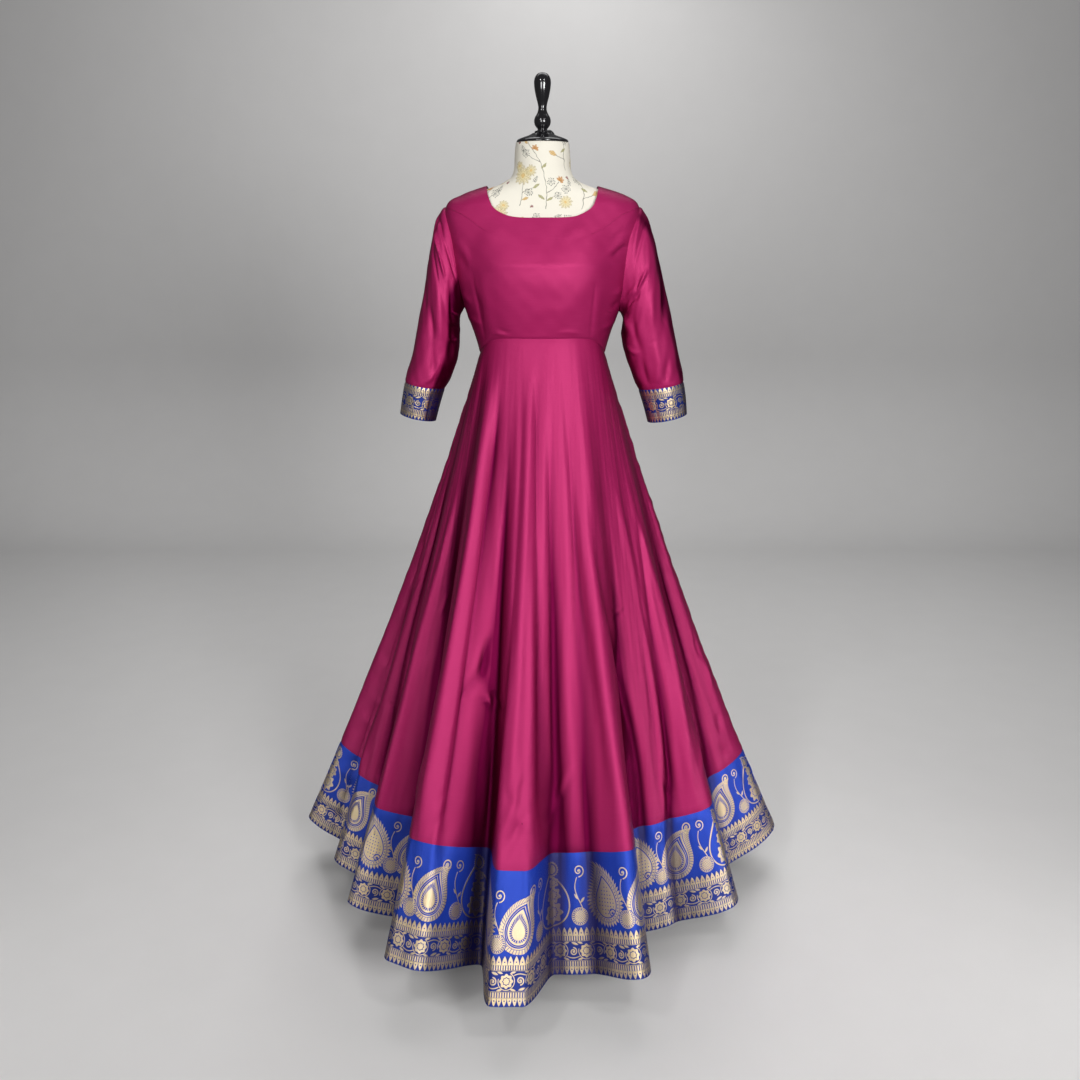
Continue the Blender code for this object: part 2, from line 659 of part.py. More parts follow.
def make_stand(lacquer, steel):
    """Neck cap with its small lug, turned finial, pole and round base."""
    turned_piece("form_neck_cap", CAP_PROFILE, lacquer, CAP_COLUMNS)
    turned_piece("form_finial", FINIAL_PROFILE, lacquer, FINIAL_COLUMNS)
    turned_piece("form_cap_lug", LUG_PROFILE, lacquer, LUG_COLUMNS, LUG_CENTRE, cap_top)
    pole_foot = BASE_HEIGHT + SEAM_GAP
    pole_head = BODY_LEVELS[0, 0] - SEAM_GAP
    pole = np.array([(pole_foot, POLE_RADIUS), (pole_head, POLE_RADIUS)])
    turned_piece("stand_pole", pole, steel, POLE_COLUMNS)
    turned_piece("stand_base", BASE_PROFILE, lacquer, BASE_COLUMNS)


def main():
    for piece in list(bpy.data.objects):
        bpy.data.objects.remove(piece, do_unlink=True)
    silk = make_material("magenta silk", (0.37, 0.02, 0.13), 0.42)
    zari = make_material("blue and gold border", (0.10, 0.09, 0.42), 0.40, 0.3)
    cover = make_material("form cover", (0.90, 0.85, 0.74), 0.85)
    lacquer = make_material("black lacquer", (0.010, 0.010, 0.012), 0.12)
    steel = make_material("black steel", (0.025, 0.025, 0.027), 0.38, 0.7)
    make_bodice("bodice_front", False, silk)
    make_bodice("bodice_back", True, silk)
    make_sleeve("right", SLEEVE_RIGHT, -1, silk, zari)
    make_sleeve("left", SLEEVE_LEFT, 1, silk, zari)
    make_skirt_half("front", 0.0, silk, zari)
    make_skirt_half("back", np.pi, silk, zari)
    make_form(cover)
    make_stand(lacquer, steel)


main()
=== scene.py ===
import math

import bpy
import numpy as np
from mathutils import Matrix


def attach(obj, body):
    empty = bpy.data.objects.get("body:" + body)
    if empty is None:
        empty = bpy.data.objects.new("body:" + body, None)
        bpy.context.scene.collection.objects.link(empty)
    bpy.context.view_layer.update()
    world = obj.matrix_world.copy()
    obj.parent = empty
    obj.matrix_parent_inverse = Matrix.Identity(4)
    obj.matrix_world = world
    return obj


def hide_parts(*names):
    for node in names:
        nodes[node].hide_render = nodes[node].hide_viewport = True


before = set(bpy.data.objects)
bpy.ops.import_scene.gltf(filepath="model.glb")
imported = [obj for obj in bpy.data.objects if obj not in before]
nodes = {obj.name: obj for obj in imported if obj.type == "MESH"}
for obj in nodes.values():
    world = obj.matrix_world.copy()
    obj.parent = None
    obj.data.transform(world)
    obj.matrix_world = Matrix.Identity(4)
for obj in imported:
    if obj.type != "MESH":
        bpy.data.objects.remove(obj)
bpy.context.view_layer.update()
print("frame loaded:", len(nodes), "nodes")

mm = 0.001

cloth = {
    "solidWall": 0.0020,       # wall of the solids that the cloth replaces
    "shellThickness": 0.0010,  # the finished cloth
    "seamDitch": 0.0011,       # how far a sewn seam sinks
    "seamWidth": 0.0030,
    "hollowReaches": (3, 8, 18),  # grid columns to either side that the depth of a trough is read from
    "troughShadeRange": (0.01, 0.42),  # hollowness at which the painted shade colour starts, and at which it is full
}
form = {
    "clearance": 0.0040,
    "shoulderInset": 0.0040,
    "shoulderLevel": 1.442,
    "shoulderReach": 0.036,
    # in millimetres: height, half width, depth in front and behind; squareness
    "levels": np.array([
        (860, 150, 98, 108, 2.1), (880, 160, 104, 115, 2.1), (950, 162, 106, 116, 2.1),
        (1020, 149, 103, 104, 2.1), (1090, 129, 95, 86, 2.1), (1145, 123.5, 91.5, 79, 2.1),
        (1195, 136, 96, 83, 2.2), (1245, 154, 100, 90, 2.3), (1290, 170, 101, 96, 2.4),
        (1340, 183, 96, 99, 2.5), (1390, 192, 86, 99, 2.6), (1425, 196.5, 78, 94, 2.6),
        (1445, 194.5, 73.5, 89, 2.5), (1460, 186, 70.5, 84, 2.4), (1475, 159, 67, 79, 2.3),
        (1488.5, 117.5, 63, 74, 2.2), (1498, 88, 60, 70, 2.1), (1510, 67, 57, 65, 2),
        (1525, 59, 54.5, 60, 2), (1548, 57, 53, 58.5, 2), (1566, 56, 52, 57.5, 2),
        (1581.5, 54, 50, 55.5, 2)]) * [mm, mm, mm, mm, 1],
    "bustHeight": 1.336, "bustDepth": 0.028, "bustReach": 0.128, "bustAbove": 0.105, "bustBelow": 0.150,
    "bustRound": 0.14,
}
waist = {"height": 1.192, "sideDrop": 0.038, "power": 6}


def bodyLevel(height):
    # sizes of the section at each height: cubic Hermite curve between the rows of the table
    heights, sizes = form["levels"][:, 0], form["levels"][:, 1:]
    row = np.clip(np.searchsorted(heights, height, side="right") - 1, 0, len(heights) - 2)
    step = heights[row + 1] - heights[row]
    t = np.clip((height - heights[row]) / step, 0, 1)[..., None]
    slopes = np.gradient(sizes, heights, axis=0)
    lowSlope, highSlope = slopes[row] * step[..., None], slopes[row + 1] * step[..., None]
    found = ((2 * t**3 - 3 * t**2 + 1) * sizes[row] + (t**3 - 2 * t**2 + t) * lowSlope
             + (3 * t**2 - 2 * t**3) * sizes[row + 1] + (t**3 - t**2) * highSlope)
    return np.moveaxis(found, -1, 0)


def bodyPoint(angle, height):
    # superellipse, angle 0 at +X and a quarter turn at the front (-Y), with a bust ridge that slopes evenly
    # to the neck and to the waist: 1 - |share of the way| with a rounded crest and foot
    width, front, back, power = bodyLevel(height)
    c, s = np.cos(angle), np.sin(angle)
    x = width * np.sign(c) * np.abs(c) ** (2 / power)
    y = -np.where(s > 0, front, back) * np.sign(s) * np.abs(s) ** (2 / power)
    above, rounding = height - form["bustHeight"], form["bustRound"]
    share = above / np.where(above > 0, form["bustAbove"], form["bustBelow"])
    slope = 1 - np.sqrt(share**2 + rounding**2) + rounding
    rise = (slope + np.sqrt(slope**2 + rounding**2 / 4)) / 2
    ridge = rise * np.exp(-((np.abs(x) / form["bustReach"]) ** 6)) * np.clip(s, 0, 1) ** 1.5
    return np.stack([x, y - form["bustDepth"] * ridge, height + 0 * x], -1)


def unit(v):
    return v / np.maximum(np.linalg.norm(v, axis=-1, keepdims=True), 1e-12)


def bodyNormal(angle, height):
    # cross product of two small steps on the surface, turned outwards
    da, dz = 0.004, 0.0008
    along = bodyPoint(angle + da, height) - bodyPoint(angle - da, height)
    up = bodyPoint(angle, height + dz) - bodyPoint(angle, height - dz)
    normal = np.cross(along, up)
    outward = np.sign(np.sum(normal * np.stack([np.cos(angle), -np.sin(angle), 0 * angle], -1), -1))
    return unit(normal * outward[..., None])


def bodyOffset(angle, height, outwards):
    # the section moved out along its normals
    return bodyPoint(angle, height) + bodyNormal(angle, height) * outwards


def angleAtSide(sideways, height):
    # angle of a section's point this far to the side: its width formula turned round
    width, _, _, power = bodyLevel(height)
    return np.arccos(np.clip(np.abs(sideways) / width, 0, 1) ** (power / 2))


def angleAtDepth(depth, height, behind):
    # the same for a point this far forward or back
    _, front, back, power = bodyLevel(height)
    return np.arcsin(np.clip(depth / (back if behind else front), 0, 1) ** (power / 2))


def waistHeight(angle):
    # level in front and behind, lower at the sides
    return waist["height"] - waist["sideDrop"] * np.abs(np.cos(angle)) ** waist["power"]


def segmentCreases(x, y, table, period=None):
    # sum of soft ridges (depth > 0) and troughs: each runs along a straight segment, bowed sideways,
    # height = depth * exp(-(distance / width)^2) * sine taper to its ends; lean tips it to one side
    field = np.zeros(np.broadcast(x, y).shape)
    for x0, y0, x1, y1, bow, width, depth, lean in table:
        ax, ay = x1 - x0, y1 - y0
        length = math.hypot(ax, ay)
        dx = x - x0
        if period:
            dx = (dx - ax / 2 + period / 2) % period - period / 2 + ax / 2
        share = (dx * ax + (y - y0) * ay) / length**2
        t = np.clip(share, 0, 1)
        off = ((y - y0 - ay * t) * ax - (dx - ax * t) * ay) / length - bow * 4 * t * (1 - t)
        beyond = np.maximum(np.abs(share - 0.5) - 0.5, 0) * length
        d = off / width
        shape = np.exp(-(d**2)) * (1 - lean * d) * np.exp(-((beyond / width) ** 2))
        field = field + depth * shape * np.sin(np.pi * np.clip(t, 0.03, 0.97)) ** 0.7
    return field


creaseUnits = np.array([mm] * 7 + [1])  # creases are listed in millimetres, apart from their lean


def ripples(x, y, waves):
    # gentle unevenness: sum of height * sin(fx * x + fy * y + start), rows of the table
    return sum(height * np.sin(fx * x + fy * y + start) for height, fx, fy, start in waves)


def arcLength(points, axis):
    # running distance along the rows or columns of a grid of points
    steps = np.linalg.norm(np.diff(points, axis=axis), axis=-1)
    total = np.cumsum(steps, axis=axis)
    start = np.zeros_like(np.take(total, [0], axis=axis))
    return np.concatenate([start, total], axis=axis)


def gridNormals(points, joined):
    # cross product of central differences across and along the grid
    if joined:
        across = np.roll(points, -1, axis=1) - np.roll(points, 1, axis=1)
    else:
        across = np.gradient(points, axis=1)
    return unit(np.cross(across, np.gradient(points, axis=0)))


def hollowness(points, normals, joined=False):
    # how far the cloth to either side stands out beyond each point, as a share of its distance:
    # above 0 in a trough, below 0 on a ridge, summed over three reaches
    columns = points.shape[1]
    at = np.arange(columns)
    total = np.zeros(points.shape[:2])
    for reach in cloth["hollowReaches"]:
        if joined:
            left, right = points[:, (at - reach) % columns], points[:, (at + reach) % columns]
        else:
            steps = np.minimum(np.minimum(at, columns - 1 - at), reach)
            left, right = points[:, at - steps], points[:, at + steps]
        span = np.maximum(np.linalg.norm(right - left, axis=-1), 0.004)
        total = total + np.sum(((left + right) / 2 - points) * normals, axis=-1) / span
    return total


def gridFaces(rows, columns, joined=False):
    # corner numbers of a grid's quads, its points counted row by row; joined closes it across its columns
    r, c = np.arange(rows - 1)[:, None] * columns, np.arange(columns if joined else columns - 1)[None, :]
    n = (c + 1) % columns
    return np.stack([r + c, r + n, r + columns + n, r + columns + c], -1).reshape(-1, 4)


def gridCorners(values):
    # a grid's values at the corners of its quads, in the same order
    return np.stack([values[:-1, :-1], values[:-1, 1:], values[1:, 1:], values[1:, :-1]], 2)


def addObject(name, data):
    thing = bpy.data.objects.new(name, data)
    bpy.context.scene.collection.objects.link(thing)
    return thing


def addMesh(name, vertices, faces, uv, material, sharp=60):
    mesh = bpy.data.meshes.new(name)
    mesh.from_pydata(vertices.reshape(-1, 3), [], faces)
    if uv is not None:
        layer = mesh.uv_layers.new(name="clothMap")
        layer.data.foreach_set("uv", uv.astype(np.float32).ravel())
    mesh.validate()
    mesh.update()
    mesh.shade_smooth()
    mesh.set_sharp_from_angle(angle=math.radians(sharp))
    mesh.materials.append(material)
    return addObject(name, mesh)


def shell(name, outer, normals, uv, material, joined=False, shade=0.0):
    # closed thin shell: the outer grid, the same grid moved in by the thickness, and the rim between
    rows, columns = outer.shape[:2]
    inner = outer - normals * cloth["shellThickness"]
    front, frontMap = gridFaces(rows, columns, joined), gridCorners(uv).reshape(-1, 4, 2)
    total = rows * columns
    parts, maps = [front, front[:, ::-1] + total], [frontMap, frontMap[:, ::-1]]

    def rim(line, mapLine):
        # quads between an edge of the outer grid and the same edge of the inner one
        parts.append(np.stack([line[:-1], line[:-1] + total, line[1:] + total, line[1:]], -1))
        maps.append(np.stack([mapLine[:-1], mapLine[:-1], mapLine[1:], mapLine[1:]], 1))

    numbers = np.arange(total).reshape(rows, columns)
    wrapped = np.append(numbers, numbers[:, :1], 1) if joined else numbers
    rim(wrapped[0], uv[0])
    rim(wrapped[-1, ::-1], uv[-1, ::-1])
    if not joined:
        rim(numbers[::-1, 0], uv[::-1, 0])
        rim(numbers[:, -1], uv[:, -1])
    faces, maps = np.concatenate(parts), np.concatenate(maps)
    first, second, _, last = front[len(front) // 2]
    p = outer.reshape(-1, 3)
    if np.cross(p[second] - p[first], p[last] - p[first]) @ normals.reshape(-1, 3)[first] < 0:
        faces, maps = faces[:, ::-1], maps[:, ::-1]
    piece = addMesh(name, np.concatenate([p, inner.reshape(-1, 3)]), faces, maps, material)
    # painted shade: how deep each point lies in a trough, plus any extra shade given, kept on the points for
    # the materials to darken the colour
    paintedShade = (hollowness(outer, normals, joined) + shade).ravel()
    layer = piece.data.attributes.new("paintedShade", "FLOAT", "POINT")
    layer.data.foreach_set("value", np.concatenate([paintedShade, -paintedShade]).astype(np.float32))
    return piece


levelGround = ((0, 0), (0, 1))  # height, distance from the axis


def turned(name, profile, columns, material, centre=(0.0, 0.0), ground=levelGround):
    # round solid: each (height, radius) of the profile carried round the axis, closed at both ends;
    # the ground is a profile too, and its height under each point is added
    turn = np.linspace(0, 2 * np.pi, columns, endpoint=False)
    height, radius = profile[:, :1], profile[:, 1:]
    x, y = centre[0] + radius * np.cos(turn), centre[1] + radius * np.sin(turn)
    ground = np.array(ground)
    height = height + np.interp(np.hypot(x, y), ground[:, 1], ground[:, 0])
    rows = len(profile)
    faces = gridFaces(rows, columns, True).tolist()
    faces.append(list(range(columns))[::-1])
    faces.append(list(range((rows - 1) * columns, rows * columns)))
    return addMesh(name, np.stack([x, y, height], -1), faces, None, material, 50)


def smoothProfile(profile, steps):
    # Catmull-Rom curve through the rows of a profile
    return throughRows(profile, np.linspace(0, len(profile) - 1, (len(profile) - 1) * steps + 1))


def throughRows(rows, at):
    # Catmull-Rom curve through the rows of an array, read at fractional row numbers
    last = len(rows) - 1
    i = np.clip(np.floor(at).astype(int), 0, last - 1)
    t = (at - i).reshape((-1,) + (1,) * (rows.ndim - 1))
    p0, p1, p2, p3 = (rows[np.clip(i + k, 0, last)] for k in (-1, 0, 1, 2))
    return 0.5 * (2 * p1 + (p2 - p0) * t + (2 * p0 - 5 * p1 + 4 * p2 - p3) * t**2
                  + (3 * p1 - p0 - 3 * p2 + p3) * t**3)


class Signal:
    # a shader socket that can stand in sums, differences, products and quotients
    def __init__(self, tree, socket):
        self.tree, self.socket = tree, socket

    def __add__(self, other):
        return calc("ADD", self, other)

    def __sub__(self, other):
        return calc("SUBTRACT", self, other)

    def __rsub__(self, other):
        return calc("SUBTRACT", other, self)

    def __mul__(self, other):
        return calc("MULTIPLY", self, other)

    def __truediv__(self, other):
        return calc("DIVIDE", self, other)

    __radd__, __rmul__ = __add__, __mul__


def feed(tree, node, values):
    # values or links on a node's inputs, by name or number; colours may leave out their fourth value
    for label, value in values.items():
        socket = node.inputs[label]
        if isinstance(value, Signal):
            tree.links.new(value.socket, socket)
        else:
            socket.default_value = (*value, 1)[:4] if socket.type == "RGBA" else value
    return node


def addNode(tree, kind, values, **options):
    # the options come first, since they decide which inputs a node has
    node = tree.nodes.new("ShaderNode" + kind)
    for label, option in options.items():
        setattr(node, label, option)
    return feed(tree, node, values)


def outputsOf(tree, node):
    return {out.name: Signal(tree, out) for out in node.outputs}


def calc(operation, *values):
    # one Math node; plain numbers are set on its sockets
    tree = next(v.tree for v in values if isinstance(v, Signal))
    return Signal(tree, addNode(tree, "Math", dict(enumerate(values)), operation=operation).outputs[0])


def sine(a):
    return calc("SINE", a)


def cosine(a):
    return calc("COSINE", a)


def size(a):
    return calc("ABSOLUTE", a)


def fraction(a):
    return calc("FRACT", a)


def higher(a, b):
    return calc("MAXIMUM", a, b)


def distance(a, b):
    return calc("SQRT", calc("MULTIPLY_ADD", a, a, b * b))


def clamped(a):
    return Signal(a.tree, addNode(a.tree, "Clamp", {"Value": a}).outputs[0])


def inside(edge, value, soft):
    # 1 where value is below the edge, 0 above, with a soft step between
    return clamped(calc("MULTIPLY_ADD", edge - value, 1 / soft, 0.5))


def outside(edge, value, soft):
    return clamped(calc("MULTIPLY_ADD", value - edge, 1 / soft, 0.5))


def band(value, middle, half, soft):
    # 1 within half of the middle
    return inside(half, size(value - middle), soft)


def newGroup(name, inputs, outputs):
    # sockets by name, each with its kind or a plain number's default; gives the group, its inputs and its end
    group = bpy.data.node_groups.new(name, "ShaderNodeTree")
    for direction, sockets in (("INPUT", inputs), ("OUTPUT", outputs)):
        for label, kind in sockets.items():
            plain = isinstance(kind, float)
            socket = group.interface.new_socket(
                name=label, in_out=direction, socket_type="NodeSocketFloat" if plain else "NodeSocket" + kind)
            if plain:
                socket.default_value = kind
    return group, outputsOf(group, group.nodes.new("NodeGroupInput")), group.nodes.new("NodeGroupOutput")


def splitVector(vector):
    return outputsOf(vector.tree, addNode(vector.tree, "SeparateXYZ", {0: vector})).values()


def joinVector(x, y, z=0.0):
    return Signal(x.tree, addNode(x.tree, "CombineXYZ", {0: x, 1: y, 2: z}).outputs[0])


def noise(vector, scale, detail=2.0, roughness=0.5):
    values = {"Vector": vector, "Scale": scale, "Detail": detail, "Roughness": roughness}
    return Signal(vector.tree, addNode(vector.tree, "TexNoise", values).outputs["Fac"])


def mixColour(factor, first, second):
    # the factor is a signal, the colours are signals or tuples
    node = addNode(factor.tree, "Mix", {0: factor, 6: first, 7: second}, data_type="RGBA")
    return Signal(factor.tree, node.outputs[2])


def placeGroup(tree, group, values):
    return outputsOf(tree, addNode(tree, "Group", values, node_tree=group))


def clothMap(tree):
    return Signal(tree, addNode(tree, "UVMap", {}, uv_map="clothMap").outputs[0])


def troughShade(tree):
    # painted shade: 0 on flat cloth and ridges to 1 in the deepest troughs
    least, most = cloth["troughShadeRange"]
    found = Signal(tree, addNode(tree, "Attribute", {}, attribute_name="paintedShade").outputs["Fac"])
    return clamped(calc("MULTIPLY_ADD", found, 1 / (most - least), -least / (most - least)))


def newMaterial(name, values):
    # Principled material with constant values set on its own sockets
    material = bpy.data.materials.new(name)
    material.use_nodes = True
    tree = material.node_tree
    return material, tree, feed(tree, tree.nodes["Principled BSDF"], values)


def addBump(tree, shader, height, depth):
    bump = addNode(tree, "Bump", {"Distance": depth, "Height": height})
    feed(tree, shader, {"Normal": Signal(tree, bump.outputs[0])})


weaveLook = {
    "pitch": 0.00042, "slubLength": 0.045, "slubWidth": 0.0011, "cloudSize": 0.09,
    "ribs": 0.5, "slubs": 1.6,  # their shares of the height
}


def makeWeaveGroup():
    # plain weave: warp and weft ribs as products of sines, thicker slub yarns as stretched noise
    group, source, result = newGroup("silkWeave", {"Map": "Vector", "Pitch": weaveLook["pitch"]},
                                     {"Height": "Float", "Slub": "Float", "Cloud": "Float"})
    u, v, _ = splitVector(source["Map"])
    warp, weft = (sine(place * (math.pi * 2) / source["Pitch"]) for place in (u, v))
    slub = noise(joinVector(u / weaveLook["slubLength"], v / weaveLook["slubWidth"]), 1.0, 3.0, 0.6)
    cloud = noise(joinVector(u / weaveLook["cloudSize"], v / weaveLook["cloudSize"]), 1.0, 2.0)
    height = warp * weft * weaveLook["ribs"] + (slub - 0.5) * weaveLook["slubs"]
    feed(group, result, {"Height": height, "Slub": slub, "Cloud": cloud})
    return group


silkLook = {
    # deep is a painted shade colour for the troughs
    "facing": (0.430, 0.016, 0.118), "edge": (0.150, 0.001, 0.036), "deep": (0.105, 0.000, 0.028),
    "slub": (0.56, 0.040, 0.180), "tint": (1.0, 0.42, 0.62),
    "turn": 0.42,  # how far the cloth turns away before its edge colour takes over
    "slubStreaks": 0.7, "cloudStreaks": 0.35, "slubRoughness": 0.08, "cloudRoughness": 0.10,
    "roughness": 0.44, "specular": 0.45, "metallic": 0.20, "metallicInShade": 0.85, "weaveDepth": 0.00006,
}


def makeSilk(weave):
    # shot silk: brighter where it faces the eye, deeper where it turns away, with painted shade where it
    # sinks into a trough, streaked by its slubs
    material, tree, shader = newMaterial("magentaSilk", {
        "Specular IOR Level": silkLook["specular"], "Specular Tint": silkLook["tint"]})
    threads = placeGroup(tree, weave, {"Map": clothMap(tree)})
    slub, cloud = threads["Slub"] - 0.5, threads["Cloud"] - 0.5
    turn = Signal(tree, addNode(tree, "LayerWeight", {"Blend": silkLook["turn"]}).outputs["Facing"])
    base = mixColour(turn, silkLook["facing"], silkLook["edge"])
    streaks = clamped(slub * silkLook["slubStreaks"] + cloud * silkLook["cloudStreaks"])
    # painted shade: troughs take the deep colour and more metal, which darkens them
    sunk = troughShade(tree)
    uneven = cloud * silkLook["cloudRoughness"] + slub * silkLook["slubRoughness"]
    feed(tree, shader, {
        "Base Color": mixColour(sunk, mixColour(streaks, base, silkLook["slub"]), silkLook["deep"]),
        "Metallic": sunk * (silkLook["metallicInShade"] - silkLook["metallic"]) + silkLook["metallic"],
        "Roughness": uneven + silkLook["roughness"]})
    addBump(tree, shader, threads["Height"], silkLook["weaveDepth"])
    return material


def paisley(x, y, radius, spike, narrow, bend):
    # drop with a curled tip: r over its own outline radius * (1 + spike * e^(-|turn| / narrow)), where the
    # turn from the tip is twisted by bend * (r / radius)^2; gives that share and how far round the outline
    r = distance(x, y)
    far = r / radius
    turn = size(calc("ARCCOSINE", cosine(calc("ARCTAN2", x, y) + far * far * bend)))
    outline = calc("MULTIPLY_ADD", calc("EXPONENT", turn * (-1 / narrow)), spike * radius, radius)
    return r / outline, (math.pi - turn) * radius + outline - radius


def flower(x, y, radius, petals, share=0.14):
    # distance from the middle over a scalloped rim
    return distance(x, y) / (radius * (1 + share * cosine(calc("ARCTAN2", x, y) * petals)))


def leaf(x, y, turn, length, width):
    # pointed oval: 1 inside a rim whose half width falls off with the square of the distance from its middle
    c, s = math.cos(turn), math.sin(turn)
    along, off = (x * c + y * s) / length, (y * c - x * s) / width
    return inside(1 - along * along, size(off), 0.12 / width)


def curl(x, y, start, step, half, hand):
    # one and a half turns of a spiral line round a dot: radius = start + step * turns, to either hand
    far = distance(x, y)
    angle = calc("ARCTAN2", x * hand, y) / (2 * math.pi) + 0.5
    line = higher(*(band(far, lap * step + start, half, 0.05) for lap in (angle, angle - 1)))
    return higher(line * outside(start * 0.45, far, 0.05), inside(start * 0.42, far, 0.05))


def net(x, y, pitch, share):
    # two crossed sets of slanted threads
    return higher(*(band(fraction(slant / pitch), 0.5, share, 0.12) for slant in (x + y, x - y)))


border = {
    # heights above the hem edge, in centimetres
    "pitch": 9.7, "vinePeriod": 9.2, "comb": 0.42, "tooth": 1.0, "edgeTooth": 0.84,
    "edgeTeeth": (0.05, 1.30), "lowComb": (1.40, 2.20), "vine": (2.35, 5.45), "topComb": (5.60, 6.35),
    "topTeeth": (6.40, 7.80), "lines": (1.35, 2.29, 5.52, 6.40), "dropsFrom": 7.95, "denseTo": 7.6,
    "soft": 0.05,  # width of every edge
    # between the drops
    "roundHeight": 9.6, "netRadius": 1.06, "beadRadius": 1.24, "beadPairs": 11, "rimRadius": 1.45,
    "clearRadius": 1.62, "stemSway": 0.75, "curlHeight": 17.3,
    # middle height, radius, petals of the blossoms held by the outlined drop
    "blossoms": ((10.3, 1.75, 8), (13.2, 1.30, 7), (15.3, 0.90, 6)),
}


def leafEdgedDrop(x, y):
    # serrated rim, beaded band and a solid heart with a curl cut out of its foot
    q, along = paisley(x - 0.55, y - 11.75, 3.70, 1.10, 0.48, 0.095)
    tooth = 1 - size(2 * fraction(along / 0.72 + q * 1.1) - 1)
    leaves = inside(0.85 + tooth * 0.17, q, 0.03) * outside(0.81, q, 0.02) * outside(0.16, tooth, 0.12)
    beads = distance((fraction(along / 0.80) - 0.5) * 0.80, (q - 0.690) * 3.4)
    beadBand = band(q, 0.690, 0.068, 0.02) * outside(0.13, beads, border["soft"])
    sunk = curl(x - 1.8, y - 10.4, 0.42, 0.55, 0.10, 1)
    grain = distance((fraction(x / 0.62) - 0.5) * 0.62, (fraction(y / 0.62) - 0.5) * 0.62)
    sunk = higher(sunk, inside(0.11, grain, border["soft"]) * inside(0.45, q, 0.03))
    heart = inside(0.575, q, 0.02) * (1 - sunk)
    return higher(higher(leaves, beadBand), higher(heart, band(q, 0.783, 0.011, 0.01)))


def flutedDrop(x, y):
    # fluted rim, two lines, a solid heart, and a neck that ends in a curl
    q, along = paisley(x + 1.15, y - 11.3, 3.30, 1.12, 0.52, -0.135)
    rib = fraction(along / 0.58)
    ribs = band(q, 0.905, 0.105, 0.02) * inside(0.40, size(rib - 0.5), 0.12)
    lines = higher(band(q, 0.745, 0.032, 0.015), band(q, 0.635, 0.013, 0.012))
    heart = inside(0.565, q, 0.02)
    veins = inside(0.30, size(fraction(along / 0.9 - q * 0.8) - 0.5), 0.2) * band(q, 0.40, 0.07, 0.03)
    tip = curl(x - 2.1, y - 17.4, 0.55, 0.55, 0.12, -1)
    return higher(higher(ribs, lines), higher(heart * (1 - veins), tip))


def blossomDrop(x, y):
    # outline that holds a stack of blossoms, with a small serrated drop above
    q, along = paisley(x + 0.3, y - 11.2, 3.25, 0.80, 0.60, 0.05)
    drop = band(q, 0.955, 0.038, 0.015)
    for height, radius, petals in border["blossoms"]:
        f = flower(x - (height - 10.3) * 0.05 + 0.2, y - height, radius, petals)
        ray = fraction(calc("ARCTAN2", x + 0.2, y - height) * (petals / math.pi))
        ring = band(f, 0.52, 0.07, 0.05) * inside(0.30, size(ray - 0.5), 0.15)
        drop = higher(drop, inside(1.0, f, 0.06) * (1 - ring))
    q, along = paisley(x + 0.1, y - 17.4, 1.02, 0.85, 0.5, 0.16)
    tooth = 1 - size(2 * fraction(along / 0.42) - 1)
    return higher(drop, inside(0.92 + tooth * 0.2, q, 0.06) * (1 - band(q, 0.66, 0.09, 0.06)))


